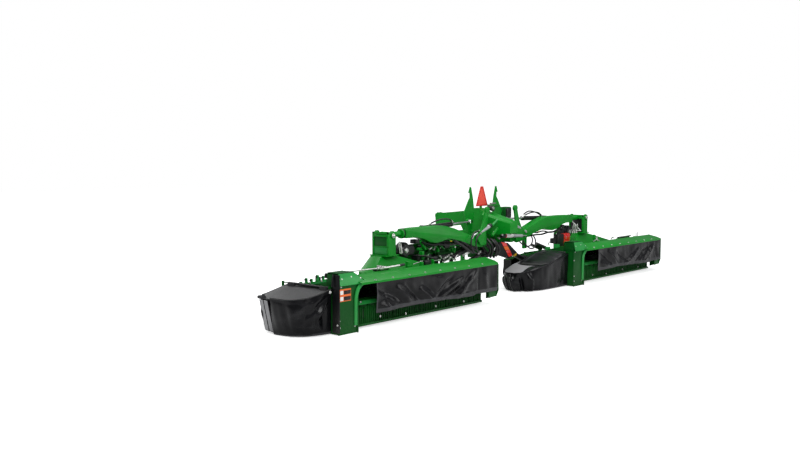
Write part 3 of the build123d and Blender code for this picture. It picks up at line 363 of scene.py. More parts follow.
finish_of("flap_grey", coating, {"Base": (0.3, 0.3, 0.31, 1), "Base Roughness": 0.6, "Scuffs": 0.2,
                                 "Scuff Colour": (0.18, 0.18, 0.19, 1)}, bump=0.25, distance=0.0015)
print("materials", len(FINISHES))

# %% [markdown]
# ## Finishes on the CAD parts
# Each CAD part names a material slot in the record. Most parts keep their own mesh and only take a better
# finish here. Sheet parts whose edges show get a copy with rolled edges in the next step.

# %% Give every CAD part its finish
SLOT_FINISH = {
    "frame_green": "green_paint", "panel_green": "green_paint", "gearbox_green": "cast_green",
    "dark_steel": "black_paint", "chromed_rod": "chrome", "bright_steel": "zinc", "worn_steel": "cut_steel",
    "shaft_guard": "guard_plastic", "deck_grey": "deck_plastic", "curtain_black": "tarpaulin",
    "signal_red": "signal_red",
}
OWN_FINISH = {
    # Unit frame, cutterbar and front guard take the darker green, which paints the shade under the hoods.
    "unit_frame": "dark_green", "cutterbar": "dark_green", "front_guard": "dark_green",
    # The end panels take the darkest green, which paints the shade on their faces.
    "end_panel": "shaded_green", "rotor": "black_paint",
}
SIDES = ("left", "right")
node_slot = {part["node"]: part["material_slot"] for part in frame["record"]["subparts"]}
node_body = {node: body for body, nodes in frame["record"]["behaviour"]["bodies"].items() for node in nodes}
node_finish = {}
for node, part in frame["nodes"].items():
    kind = node.split("_", 1)[1]
    node_finish[node] = OWN_FINISH.get(kind, SLOT_FINISH[node_slot[node]])
    part.data.materials.clear()
    part.data.materials.append(FINISHES[node_finish[node]])
print("finished", len(node_finish), "CAD parts")

# %% [markdown]
# ## Rolled edges
# Folded sheet and cut plate never end in a perfectly sharp edge: the small radius there catches the light
# and draws a bright line. A bevel modifier on a merged copy of the CAD mesh makes it, and the copy
# stands for the CAD part.

# %% Copy and round the parts whose edges show


def activate(piece):
    """Select one piece alone and make it active, ready for an operator."""
    deselect()
    piece.select_set(True)
    bpy.context.view_layer.objects.active = piece


def apply_all(piece):
    """Apply every modifier on a piece, in order."""
    activate(piece)
    for modifier in list(piece.modifiers):
        bpy.ops.object.modifier_apply(modifier=modifier.name)


def dressed(node, width=0.003, segments=2, angle=35):
    """A merged copy of a CAD part with rounded edges, which replaces it."""
    source = frame["nodes"][node]
    piece = source.copy()
    piece.data = source.data.copy()
    for key in list(piece.keys()):
        del piece[key]
    piece.parent = None
    bpy.context.scene.collection.objects.link(piece)
    piece.name = node + "_rounded"
    activate(piece)
    bpy.ops.object.mode_set(mode="EDIT")
    bpy.ops.mesh.select_all(action="SELECT")
    bpy.ops.mesh.remove_doubles(threshold=0.00005)
    bpy.ops.mesh.dissolve_limited(angle_limit=math.radians(1))
    bpy.ops.object.mode_set(mode="OBJECT")
    bevel = piece.modifiers.new("rolled_edge", "BEVEL")
    bevel.width = width
    bevel.segments = segments
    bevel.limit_method = "ANGLE"
    bevel.angle_limit = math.radians(angle)
    bevel.use_clamp_overlap = True
    apply_all(piece)
    bpy.ops.object.shade_smooth_by_angle(angle=math.radians(32))
    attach(piece, node_body[node])
    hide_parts(node)
    return piece


ROUNDED_KINDS = ("arm", "hanger", "hood", "end_panel", "knuckle", "spine_beam", "side_guard")
ROUNDED = ["center_hood"] + [f"{side}_{kind}" for side in SIDES for kind in ROUNDED_KINDS]
for node in ROUNDED:
    dressed(node)
print("rounded", len(ROUNDED), "parts")

# %% [markdown]
# ## Modelling helpers
# Small parts start from a cube, a cylinder or a filled circle. They are shaped in edit mode and get their
# edges broken by the bevel operator, because a sharp primitive looks like a toy. A finished piece is
# joined, applied and then rides on the body that carries it.

# %% Define the helpers


def shape_box(low, high, bevel=0.003, taper=1.0):
    """A box between two corners with rounded edges; taper draws its top in."""
    low, high = Vector(low), Vector(high)
    deselect()
    bpy.ops.mesh.primitive_cube_add(size=1, location=(low + high) / 2)
    piece = bpy.context.object
    piece.scale = high - low
    bpy.ops.object.transform_apply(location=True, rotation=True, scale=True)
    if taper != 1.0:
        middle = (low + high) / 2
        for vertex in piece.data.vertices:
            if vertex.co.z > middle.z:
                vertex.co.x = middle.x + (vertex.co.x - middle.x) * taper
                vertex.co.y = middle.y + (vertex.co.y - middle.y) * taper
    bpy.ops.object.mode_set(mode="EDIT")
    bpy.ops.mesh.select_all(action="SELECT")
    bpy.ops.mesh.bevel(offset=min(bevel, min(high - low) * 0.3), segments=2, affect="EDGES")
    bpy.ops.object.mode_set(mode="OBJECT")
    return piece


def shape_rod(start, end, radius, end_radius=None, sides=20, bevel=0.002):
    """A round rod or cone between two points with broken end edges."""
    start, end = Vector(start), Vector(end)
    deselect()
    if end_radius is None:
        end_radius = radius
    bpy.ops.mesh.primitive_cone_add(vertices=sides, radius1=radius, radius2=end_radius,
                                    depth=(end - start).length, location=(start + end) / 2,
                                    rotation=(end - start).to_track_quat("Z", "Y").to_euler())
    piece = bpy.context.object
    bpy.ops.object.transform_apply(location=True, rotation=True, scale=True)
    bpy.ops.object.mode_set(mode="EDIT")
    bpy.ops.mesh.select_mode(type="FACE")
    bpy.ops.mesh.select_all(action="DESELECT")
    bpy.ops.object.mode_set(mode="OBJECT")
    for face in piece.data.polygons:
        face.select = len(face.vertices) > 4
    bpy.ops.object.mode_set(mode="EDIT")
    bpy.ops.mesh.bevel(offset=min(bevel, radius * 0.3), segments=1, affect="EDGES")
    bpy.ops.object.mode_set(mode="OBJECT")
    return piece


def shape_plate(outline, offset, bevel=0.0015):
    """A flat plate: an outline of points in space pushed out by an offset."""
    deselect()
    bpy.ops.mesh.primitive_circle_add(vertices=len(outline), fill_type="NGON")
    piece = bpy.context.object
    for vertex, point in zip(piece.data.vertices, outline):
        vertex.co = point
    bpy.ops.object.mode_set(mode="EDIT")
    bpy.ops.mesh.select_all(action="SELECT")
    bpy.ops.mesh.extrude_region_move(TRANSFORM_OT_translate={"value": tuple(offset)})
    bpy.ops.mesh.select_all(action="SELECT")
    bpy.ops.mesh.normals_make_consistent(inside=False)
    if bevel:
        bpy.ops.mesh.bevel(offset=bevel, segments=1, affect="EDGES")
    bpy.ops.object.mode_set(mode="OBJECT")
    piece.matrix_world.identity()
    return piece


def nurbs_line(name, points, resolution=6):
    """Curve data for a smooth line along a few control points."""
    line = bpy.data.curves.new(name, "CURVE")
    line.dimensions = "3D"
    spline = line.splines.new("NURBS")
    spline.points.add(len(points) - 1)
    for point, place in zip(spline.points, points):
        point.co = (*place, 1)
    spline.order_u = 3
    spline.use_endpoint_u = True
    spline.resolution_u = resolution
    return line


def shape_pipe(points, radius, sides=10):
    """A bent pipe along a smooth line, as a mesh."""
    line = nurbs_line("pipe", points)
    line.bevel_depth = radius
    line.bevel_resolution = max(1, sides // 4 - 1)
    line.use_fill_caps = True
    piece = bpy.data.objects.new("pipe", line)
    bpy.context.scene.collection.objects.link(piece)
    activate(piece)
    bpy.ops.object.convert(target="MESH")
    return bpy.context.object


def shape_spring(start, end, radius, wire, turns):
    """A coil spring between two points."""
    start, end = Vector(start), Vector(end)
    along = end - start
    side = along.orthogonal().normalized()
    other = along.normalized().cross(side)
    steps = int(turns * 8)
    points = [start + along * (i / steps) + side * (radius * math.cos(math.tau * i / 8))
              + other * (radius * math.sin(math.tau * i / 8)) for i in range(steps + 1)]
    return shape_pipe(points, wire, sides=8)


SLOT_FINISHES = {
    "frame_green": ("green_paint", "dark_green"), "panel_green": ("worn_green",),
    "gearbox_green": ("cast_green",), "dark_steel": ("black_paint",), "worn_steel": ("cut_steel",),
    "chromed_rod": ("chrome",), "bright_steel": ("zinc", "plain_white", "plain_yellow", "grey_enamel"),
    "shaft_guard": ("guard_plastic", "rubber", "moulded_black"), "deck_grey": ("deck_plastic",),
    "signal_red": ("lamp_orange", "lamp_red", "border_red", "decal_orange"),
    "curtain_black": ("tarpaulin", "flap_grey", "clear_black"),
}
SLOT_OF = {finish: slot for slot, finishes in SLOT_FINISHES.items() for finish in finishes}


def settle(pieces, name, body, finish, slot=None, smooth=32):
    """Join shapes into one finished piece, which rides on a body; a slot is worked out from its finish but not
    given to it.
    """
    deselect()
    for piece in pieces:
        piece.select_set(True)
    bpy.context.view_layer.objects.active = pieces[0]
    if len(pieces) > 1:
        bpy.ops.object.join()
    piece = bpy.context.view_layer.objects.active
    bpy.ops.object.transform_apply(location=True, rotation=True, scale=True)
    piece.name = name
    piece.data.materials.clear()
    piece.data.materials.append(FINISHES[finish])
    bpy.ops.object.shade_smooth_by_angle(angle=math.radians(smooth))
    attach(piece, body)
    slot = slot or SLOT_OF[finish]


print("helpers ready")

# %% [markdown]
# ## Curtains
# The guards round the cutterbar are sheets of coated cloth, about 3 mm thick, bolted along their top edge.
# They hang in long slanting folds that run from the bolts to the loose corners. Each sheet starts as a grid
# laid along its guard, the main folds are pressed into it, and a short cloth simulation lets it sag.
# Folds are ridges: a line on the sheet with a width and a height, in metres.

# %% Define how a curtain is laid out
CLOTH = 0.0035
CLOTH_STEPS = 14
FOLD_DEPTH = 1.75
hanging = []


def along_line(points, distance):
    """The place and the outward direction at a distance along a line of (x, y) points."""
    for (x0, y0), (x1, y1) in zip(points, points[1:]):
        length = math.hypot(x1 - x0, y1 - y0)
        outward = ((y1 - y0) / length, -(x1 - x0) / length)
        if distance <= length:
            share = distance / length
            return (x0 + (x1 - x0) * share, y0 + (y1 - y0) * share), outward
        distance -= length
    return (x1, y1), outward


def line_length(points):
    """Length of a line of (x, y) points."""
    return sum(math.hypot(b[0] - a[0], b[1] - a[1]) for a, b in zip(points, points[1:]))


def ridge_height(ridges, u, v):
    """Sum of all ridges at a place on the sheet; u runs along it and v down it, in metres."""
    total = 0.0
    for u0, v0, u1, v1, width, height in ridges:
        du, dv = u1 - u0, v1 - v0
        share = max(0.0, min(1.0, ((u - u0) * du + (v - v0) * dv) / (du * du + dv * dv)))
        gap = math.hypot(u - u0 - du * share, v - v0 - dv * share)
        fade = 0.35 + 0.65 * math.sin(math.pi * min(1.0, 0.12 + share * 0.88))
        total += FOLD_DEPTH * height * fade * math.exp(-(gap / width) ** 2)
    return total


def hang_sheet(name, line, top, bottom, ridges, seed, draw_in=None, cell=0.03, waves=0.006, hem_side=0.02,
               hem_foot=0.03, outward=1):
    """A cloth that hangs from a line in plan; top and bottom give its heights at a distance along it."""
    length = line_length(line)
    drops = [top(d * length / 24) - bottom(d * length / 24) for d in range(25)]
    drop = max(drops)
    columns, rows = max(6, int(length / cell)), max(5, int(drop / cell))
    deselect()
    bpy.ops.mesh.primitive_grid_add(x_subdivisions=columns, y_subdivisions=rows, size=1)
    piece = bpy.context.object
    rng = random.Random(seed)
    phases = [rng.uniform(0, math.tau) for _ in range(3)]
    hem_faces = []
    coordinates = {}
    for vertex in piece.data.vertices:
        u, v = (vertex.co.x + 0.5) * length, 0.5 - vertex.co.y
        z0, z1 = top(u), bottom(u)
        (x, y), (nx, ny) = along_line(line, min(u, length - 1e-6))
        loose = min(1.0, v * 2.6)
        push = ridge_height(ridges, u, v * (z0 - z1)) * loose
        push += waves * loose * (math.sin(u * 17 + phases[0] + 2 * v) * 0.6
                                 + math.sin(u * 41 + phases[1] - 5 * v) * 0.3
                                 + math.sin(u * 7.3 + v * 4 + phases[2]))
        if draw_in:
            push -= draw_in(u, v)
        push *= outward
        coordinates[vertex.index] = (u, v)
        vertex.co = (x + nx * push, y + ny * push, z0 + (z1 - z0) * v)
    for face in piece.data.polygons:
        us = [coordinates[i][0] for i in face.vertices]
        vs = [coordinates[i][1] for i in face.vertices]
        if min(us) < hem_side or min(vs) > 1 - hem_foot / drop - 1.01 / rows:
            hem_faces.append(face.index)
    pins = piece.vertex_groups.new(name="pins")
    pins.add([i for i, (u, v) in coordinates.items() if v < 0.5 / rows], 1.0, "REPLACE")
    piece.name = name
    hanging.append((piece, hem_faces))
    return piece, length, drop


def simulate_all(pieces, steps):
    """Let every hanging sheet sag together, then keep the result in its mesh."""
    scene = bpy.context.scene
    for piece, _ in pieces:
        cloth = piece.modifiers.new("sag", "CLOTH")
        cloth.settings.vertex_group_mass = "pins"
        cloth.settings.quality = 4
        cloth.settings.mass = 0.25
        cloth.settings.air_damping = 6
        cloth.settings.tension_stiffness = 60
        cloth.settings.compression_stiffness = 60
        cloth.settings.shear_stiffness = 25
        cloth.settings.bending_stiffness = 6
        cloth.settings.effector_weights.gravity = 0.25
        cloth.point_cache.frame_end = steps + 1
    for step in range(1, steps + 1):
        scene.frame_set(step)
    for piece, _ in pieces:
        apply_all(piece)
    scene.frame_set(1)


def thicken(piece, thickness, offset=0, levels=1):
    """Smooth a sheet and give it its thickness."""
    fine = piece.modifiers.new("fine", "SUBSURF")
    fine.levels = levels
    fine.render_levels = levels
    wall = piece.modifiers.new("wall", "SOLIDIFY")
    wall.thickness = thickness
    wall.offset = offset
    apply_all(piece)


def finish_sheet(piece, hem_faces, finish, body, node=None):
    """Give a sheet its two finishes and its thickness, and let it ride."""
    piece.vertex_groups.clear()
    piece.data.materials.clear()
    piece.data.materials.append(FINISHES[finish])
    piece.data.materials.append(FINISHES["hem"])
    for index in hem_faces:
        piece.data.polygons[index].material_index = 1
    thicken(piece, CLOTH)
    bpy.ops.object.shade_smooth()
    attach(piece, body)
    if node:
        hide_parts(node)


print("curtain helpers ready")

# %% [markdown]
# The rear curtains hang inside the folded lip of each hood. The left one is the most creased: its folds fan
# out from the left corner, lie in a slack pocket and rise again to a sewn joint near its right end.

# %% Lay out the rear, front and side curtains
REAR_RIDGES = {
    "left": [
        (0.03, 0.02, 0.34, 0.16, 0.03, -0.02), (0.02, 0.08, 0.55, 0.30, 0.045, -0.032),
        (0.10, 0.34, 0.42, 0.42, 0.05, 0.02), (0.45, 0.14, 0.75, 0.40, 0.06, 0.022),
        (0.62, 0.10, 0.95, 0.36, 0.03, -0.026), (0.95, 0.22, 1.25, 0.42, 0.035, 0.03),
        (1.00, 0.12, 1.30, 0.30, 0.022, -0.02), (1.30, 0.40, 1.95, 0.16, 0.03, 0.034),
        (1.35, 0.30, 1.75, 0.06, 0.02, -0.022), (1.55, 0.42, 2.20, 0.20, 0.028, -0.026),
        (1.78, 0.44, 2.30, 0.06, 0.04, 0.03), (2.05, 0.34, 2.34, 0.42, 0.035, -0.02),
        (1.10, 0.03, 1.45, 0.10, 0.02, 0.016), (0.20, 0.22, 0.34, 0.44, 0.04, -0.02),
        (2.50, 0.08, 2.60, 0.40, 0.05, 0.014), (2.36, 0.02, 2.36, 0.44, 0.012, -0.014)],
    "right": [
        (0.05, 0.03, 0.50, 0.30, 0.04, -0.024), (0.40, 0.10, 0.80, 0.38, 0.035, 0.026),
        (0.75, 0.10, 1.25, 0.34, 0.03, -0.022), (1.10, 0.40, 1.70, 0.14, 0.03, 0.028),
        (1.55, 0.42, 2.10, 0.12, 0.032, -0.026), (1.95, 0.40, 2.40, 0.10, 0.04, 0.026),
        (2.20, 0.02, 2.20, 0.44, 0.012, -0.014), (2.45, 0.06, 2.60, 0.36, 0.04, -0.016),
        (0.15, 0.30, 0.60, 0.42, 0.05, 0.02)],
}
FRONT_RIDGES = [(0.2 + 0.42 * i, 0.03, 0.42 + 0.42 * i, 0.34, 0.035, 0.018 * (-1) ** i) for i in range(9)]
NOSE_RIDGES = {
    "left": [
        (1.30, 0.04, 1.36, 0.42, 0.05, 0.02), (1.46, 0.04, 1.50, 0.40, 0.03, -0.022),
        (1.56, 0.04, 1.60, 0.44, 0.028, 0.02), (0.30, 0.03, 0.34, 0.46, 0.05, 0.02),
        (0.55, 0.03, 0.50, 0.46, 0.05, -0.02), (0.85, 0.03, 0.90, 0.46, 0.05, 0.022)],
    "right": [
        (0.30, 0.03, 0.34, 0.36, 0.05, 0.02), (0.62, 0.03, 0.50, 0.36, 0.05, -0.02),
        (0.95, 0.03, 1.00, 0.36, 0.04, 0.022), (1.12, 0.03, 1.20, 0.36, 0.03, -0.02),
        (1.25, 0.03, 1.32, 0.36, 0.03, 0.02), (1.40, 0.03, 1.50, 0.36, 0.03, -0.02)],
}
NOSE_TAPER = {"left": 0.12, "right": 0.07}
DECK_INNER, DECK_OUTER, DECK_SHEET = 0.6, {"left": 0.48, "right": 0.41}, 0.02
CORNER_STEPS, REAR_CORNER, FRONT_CORNER = 9, 0.34, 0.12
HINGE_GAP, NOSE_INSET, NOSE_FOOT = 0.02, 0.014, 0.016
CURTAIN_INSET, FRONT_RETURN = 0.008, 0.2


def hinge_x(side):
    """Where the hinge of a side guard sits across the machine, at rest."""
    joint = next(j for j in frame["joints"] if j["name"] == f"{side}_side_guard_fold")
    return joint["pos_m"][0] + HINGE_GAP


def nose_line(side, inset):
    """The plan of a side guard's outer edges, from its front inner corner round to its rear inner corner."""
    low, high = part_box(f"{side}_side_guard")
    inner = hinge_x(side)
    west, south, north = low.x + inset, low.y + inset, high.y - inset
    rear_r, front_r = REAR_CORNER - inset, FRONT_CORNER - inset
    points = [(inner, north)]
    for first, radius, centre_y in ((90, front_r, north - front_r), (180, rear_r, south + rear_r)):
        for i in range(CORNER_STEPS + 1):
            turn = math.radians(first + 90 * i / CORNER_STEPS)
            points.append((west + radius + radius * math.cos(turn), centre_y + radius * math.sin(turn)))
    points.append((inner - 0.004, south))
    return points


def deck_height(side, x):
    """Underside of a side guard's sloping deck at a place across the machine."""
    low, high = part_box(f"{side}_side_guard")
    inner = hinge_x(side)
    return DECK_INNER - (DECK_INNER - DECK_OUTER[side]) * (inner - x) / (inner - low.x) - DECK_SHEET


def level(height):
    """An edge that keeps one height."""
    return lambda u: height


def rear_foot(height):
    """The wavy foot of a rear curtain, which runs level past its joint."""
    return lambda u: height - 0.012 + 0.018 * math.sin(u * 1.9) * (u < 2.3)


def nose_top(side, line):
    """The upper edge of a side curtain follows the deck."""
    return lambda u: deck_height(side, along_line(line, min(u, line_length(line) - 1e-6))[0][0])


def nose_flare(side, length):
    """A side curtain stands out towards its foot, apart from both ends."""
    return lambda u, v: -NOSE_TAPER[side] * v ** 1.6 * min(1.0, 3.2 * min(u, length - u) / length)


sheets = {}
for side in SIDES:
    low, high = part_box(f"{side}_rear_curtain")
    lip = (low.y + high.y) / 2
    sheets[f"{side}_rear"] = hang_sheet(f"{side}_rear_cloth", [(low.x, lip), (high.x, lip)], level(high.z),
                                        rear_foot(low.z), REAR_RIDGES[side], seed=3, cell=0.028)
    low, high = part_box(f"{side}_front_curtain")
    edge, east, west = high.y - CURTAIN_INSET, high.x - CURTAIN_INSET, low.x + CURTAIN_INSET
    line = [(east, edge - FRONT_RETURN), (east, edge), (west, edge), (west, edge - FRONT_RETURN)]
    sheets[f"{side}_front"] = hang_sheet(f"{side}_front_cloth", line, level(high.z), level(low.z),
                                         FRONT_RIDGES, seed=5, cell=0.034, waves=0.004)
for side in SIDES:
    line = nose_line(side, NOSE_INSET)
    sheets[f"{side}_nose"] = hang_sheet(f"{side}_nose_cloth", line, nose_top(side, line), level(NOSE_FOOT),
                                        NOSE_RIDGES[side], seed=7, waves=0.004, outward=-1,
                                        draw_in=nose_flare(side, line_length(line)))
for name, (_, length, drop) in sheets.items():
    print(name, round(length, 3), round(drop, 3))

# %% [markdown]
# ## Sag, thickness and hems
# Tarpaulin sags between its bolts and has a hem along its edges. A few frames of cloth simulation with the
# upper edge pinned give the sag, and it stops early because more frames would draw the folds out. The
# sheet then gets its thickness, and the faces along its edges get the hem's finish.

# %% Let them sag and finish them
CURTAINS = {"rear": ("rear_curtain", "hood"), "front": ("front_curtain", "front_guard"),
            "nose": ("side_curtain", "side_guard")}
simulate_all(hanging, CLOTH_STEPS)
for piece, hem_faces in hanging:
    side, place = piece.name.split("_")[:2]
    node = f"{side}_{CURTAINS[place][0]}"
    finish_sheet(piece, hem_faces, "tarpaulin", node_body[node], node)
print("curtains hung", len(hanging))

# %% [markdown]
# ## Places on a mowing unit
# Both units are the same hand, so one small function gives a place on either of them: how far from the
# left end of its hood, how far ahead of its rear lip and how high. Another follows the top of the hood.

# %% Find places on the units
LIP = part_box("left_hood")[0].y
LEFT_END = {side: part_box(f"{side}_hood")[0].x for side in SIDES}
HANGER = {side: sum(corner.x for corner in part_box(f"{side}_hanger")) / 2 for side in SIDES}
LIP_HEIGHT, BAND_WIDTH, BAND_SLOPE = 0.668, 0.3, 0.2233
RIDGE_HEIGHT, DECK_SLOPE = 0.735, 0.2468


def spot(side, along, ahead, height):
    """A place on a unit, from its left end, its rear lip and the ground."""
    return Vector((LEFT_END[side] + along, LIP + ahead, height))


def hood_top(ahead):
    """Height of the hood's sheet: a rising band, then a deck that falls to the front."""
    if ahead < BAND_WIDTH:
        return LIP_HEIGHT + BAND_SLOPE * ahead
    return RIDGE_HEIGHT - DECK_SLOPE * (ahead - BAND_WIDTH)


def bolts(places, normal, radius):
    """Hexagon bolt heads on their washers, all facing one way."""
    normal = Vector(normal).normalized()
    back, seat, top = normal * 0.002, normal * 0.003, normal * (0.003 + radius * 0.75)
    shapes = []
    for place in places:
        shapes.append(shape_rod(place - back, place + seat, radius * 1.5, sides=14, bevel=0.001))
        shapes.append(shape_rod(place + back, place + top, radius, sides=6, bevel=0.0015))
    return shapes


print("left ends", LEFT_END)

# %% [markdown]
# ## Bolts, rolled arch edge and end panel
# Zinc bolts hold the curtain under the band and run round the end panel. The panel's shoulder is a sheet
# laid back over its top, and its free edge beside the arch is rolled round, which shows as a bright strip.
# Shoulder and roll take a lighter green, which paints the light on the shoulder and a highlight along the roll.
# The two plates on its face are left blank.

# %% Dress the end panels and bands
PANEL_BOLTS = ((0.05, 0.635), (0.018, 0.48), (0.02, 0.19), (0.025, 0.10), (0.31, 0.09))
SHOULDER_BOLTS = ((0.05, 0.74), (0.23, 0.755), (0.40, 0.725))
SHOULDER = ((0.004, 0.056, 0.655), (0.47, 0.056, 0.655), (0.44, 0.066, 0.705), (0.29, 0.089, 0.81),
            (0.004, 0.089, 0.81))
LAP = ((0.004, 0.056, 0.655), (0.47, 0.056, 0.655), (0.47, 0.092, 0.64), (0.004, 0.092, 0.64))
ARCH_X, ARCH_Z, ARCH_R = 0.53, 0.465, 0.205
ROLL_AHEAD, ROLL_FLATTEN = 0.082, 0.55
PLATES = {
    "decal_frame": ("decal_orange", [(0.030, 0.236, 0.442, 0.606)], 0.0892),
    "decal_light": ("plain_white", [(0.036, 0.092, 0.534, 0.586), (0.036, 0.092, 0.452, 0.506)], 0.0882),
    "decal_dark": ("black_paint", [(0.100, 0.230, 0.534, 0.586), (0.100, 0.230, 0.452, 0.506)], 0.0882),
}
for side in SIDES:
    unit = f"{side}_unit"
    at = partial(spot, side)
    parts = bolts([at(0.66 + 0.355 * i, 0.035, hood_top(0.035)) for i in range(8)], (0, -0.22, 0.97), 0.012)
    parts += bolts([at(along, 0.091, height) for along, height in PANEL_BOLTS], (0, -1, 0), 0.009)
    parts += bolts([at(along, 0.062 + (height - 0.66) * 0.24, height) for along, height in SHOULDER_BOLTS],
                   (0, -1, 0.28), 0.010)
    settle(parts, f"{side}_unit_bolts", unit, "zinc")
    # Shoulder cover and arch roll take the lighter green, which paints the light on the shoulder and a highlight
    # along the roll.
    parts = [shape_plate([at(*point) for point in SHOULDER], (0, 0.006, 0.002)),
             shape_plate([at(*point) for point in LAP], (0, 0.002, 0.005))]
    settle(parts, f"{side}_shoulder_cover", unit, "worn_green")
    rim = [at(0.322, 0.082, 0.10), at(0.322, 0.080, 0.18), at(0.322, 0.078, 0.42)]
    for degrees in (172, 152, 132, 112, 96):
        turn = math.radians(degrees)
        rim.append(at(ARCH_X + ARCH_R * math.cos(turn), 0.076, ARCH_Z + ARCH_R * math.sin(turn)))
    roll = shape_pipe(rim, 0.03, sides=20)
    for vertex in roll.data.vertices:
        vertex.co.y = LIP + ROLL_AHEAD + (vertex.co.y - LIP - ROLL_AHEAD) * ROLL_FLATTEN
    settle([roll], f"{side}_arch_roll", unit, "worn_green")
at = partial(spot, "left")
for label, (finish, fields, ahead) in PLATES.items():
    parts = [shape_box(at(x0, ahead, z0), at(x1, 0.0925, z1), 0.0006) for x0, x1, z0, z1 in fields]
    settle(parts, f"left_{label}", "left_unit", finish, "panel_green")
print("end panels dressed")

# %% [markdown]
# ## Swath board, combs and baffle
# Under the curtain a low board with a comb of thin ribs carries the lower edge of the machine. Ribs and rail
# take a darker green that paints the shade under the curtain. A rubber baffle behind the comb keeps stones in, and
# closes the view through the board's windows; it is also a dark sheet that paints the shade inside the unit.

# %% Make the combs, the baffle and the skirting
COMB_RIBS, RIB_PITCH = 74, 0.0405
BOARD_TOP = ((0.36, 0.20, 0.335), (3.42, 0.20, 0.335), (3.42, 0.252, 0.375), (0.36, 0.252, 0.375))
BOARD_BOLTS = ((0.56, 0.37), (0.95, 0.12), (1.5, 0.09), (2.2, 0.11), (2.9, 0.10))
for side in SIDES:
    unit = f"{side}_unit"
    at = partial(spot, side)
    ribs = []
    rib = shape_box(at(0.40, 0.222, 0.045), at(0.409, 0.247, 0.325), 0.0015)
    for i in range(COMB_RIBS):
        copy = rib.copy()
        copy.data = rib.data.copy()
        bpy.context.scene.collection.objects.link(copy)
        for vertex in copy.data.vertices:
            vertex.co.x += RIB_PITCH * i
            vertex.co.y += 0.004 * ((i * 7) % 3)
            if vertex.co.z > 0.2:
                vertex.co.z -= 0.018 * ((i * 5) % 4)
        ribs.append(copy)
    bpy.data.objects.remove(rib)
    rail = shape_box(at(0.375, 0.214, 0.030), at(3.40, 0.248, 0.062), 0.004)
    # Ribs and rail take the darker green, which paints the shade under the curtain.
    settle(ribs + [rail], f"{side}_comb", unit, "dark_green")
    # The baffle stands for a rubber sheet and also paints the shade inside the unit, where the floor would show
    # bright through the windows.
    parts = [shape_box(at(0.40, 0.300, 0.10), at(3.40, 0.306, 0.318), 0.002)]
    parts += [shape_box(at(0.62 + 0.42 * i, 0.262, 0.13), at(0.80 + 0.42 * i, 0.30, 0.24), 0.012)
              for i in range(7)]
    settle(parts, f"{side}_baffle", unit, "rubber", "dark_steel")
    # The board's top strip takes the lighter green, which paints the light falling on it.
    strip = shape_plate([at(*point) for point in BOARD_TOP], (0, 0.003, -0.005))
    settle([strip], f"{side}_board_top", unit, "worn_green")
    parts = bolts([at(along, 0.215, height) for along, height in BOARD_BOLTS], (0, -1, 0.3), 0.011)
    settle(parts, f"{side}_board_bolts", unit, "zinc")
print("combs and baffles made")

# %% [markdown]
# ## Parts from tables
# The many small fittings are made from tables. A table is keyed by finish and kind of shape, and each row
# has two ends or corners and then the sizes: a bevel for a box, a radius for a bar or a rod and perhaps the
# rod's sides, two radii for a cone, and radius, wire and turns for a spring. A pipe's row has its radius
# and then its points.

# %% Define the tables' builder
ROD_SIDES, ROD_BEVEL = 18, 0.12


def shape_row(place, kind, row):
    """One shape of a table; place turns three numbers into a point."""
    if kind == "pipe":
        return shape_pipe([place(*point) for point in row[1:]], row[0])
    start, end, size = place(*row[:3]), place(*row[3:6]), row[6]
    if kind == "box":
        low = Vector([min(pair) for pair in zip(start, end)])
        high = Vector([max(pair) for pair in zip(start, end)])
        return shape_box(low, high, size)
    if kind == "bar":
        return shape_rod(start, end, size)
    if kind == "rod":
        sides = row[7] if len(row) > 7 else ROD_SIDES
        return shape_rod(start, end, size, sides=sides, bevel=size * ROD_BEVEL)
    if kind == "cone":
        return shape_rod(start, end, size, row[7], bevel=0.003)
    return shape_spring(start, end, *row[6:])


def from_tables(place, *tables):
    """Shapes of tables, gathered by finish."""
    groups = {}
    for table in tables:
        for label, rows in table.items():
            finish, kind = label.split()
            groups.setdefault(finish, []).extend([shape_row(place, kind, row) for row in rows])
    return groups


def settle_groups(groups, stem, body):
    """One piece for each finish."""
    for finish, shapes in groups.items():
        settle(shapes, f"{stem}_{finish}", body, finish)


print("tables ready")

# %% [markdown]
# ## Fittings on the hoods
# A control rod runs along the left hood. Both hoods carry small posts, latches and zinc linkages.

# %% Place the rod, posts and linkages
FITTINGS = {
    "left": {
        "zinc bar": [
            (0.10, 0.33, 0.792, 1.02, 0.33, 0.776, 0.011), (1.20, 0.33, 0.770, 1.50, 0.33, 0.778, 0.016),
            (1.02, 0.33, 0.775, 1.20, 0.33, 0.772, 0.022), (1.08, 0.27, 0.80, 1.08, 0.39, 0.80, 0.012)],
        "zinc box": [(1.05, 0.30, 0.755, 1.13, 0.36, 0.805, 0.006)],
        "black_paint bar": [(1.50, 0.33, 0.778, 1.60, 0.33, 0.782, 0.02)],
        "black_paint box": [
            (1.02, 0.36, 0.73, 1.30, 0.42, 0.762, 0.004), (2.42, 0.60, 0.66, 2.58, 0.70, 0.745, 0.01),
            (0.02, 0.33, 0.735, 0.07, 0.37, 0.80, 0.005)],
        "green_paint box": [
            (1.97, 0.56, 0.66, 2.01, 0.62, 0.775, 0.005), (1.94, 0.55, 0.70, 2.04, 0.58, 0.725, 0.005),
            (2.32, 0.58, 0.66, 2.36, 0.64, 0.74, 0.005), (2.62, 0.6, 0.66, 2.65, 0.66, 0.75, 0.005)]},
    "right": {
        "green_paint box": [
            (1.33, 0.38, 0.70, 1.37, 0.43, 0.86, 0.006), (1.30, 0.37, 0.72, 1.42, 0.40, 0.745, 0.005)],
        "black_paint box": [(2.33, 0.36, 0.72, 2.80, 0.41, 0.752, 0.004)],
        "black_paint bar": [
            (3.18, 0.40, 0.71, 3.22, 0.42, 0.785, 0.007), (3.24, 0.40, 0.71, 3.30, 0.42, 0.80, 0.006)],
        "zinc bar": []},
}
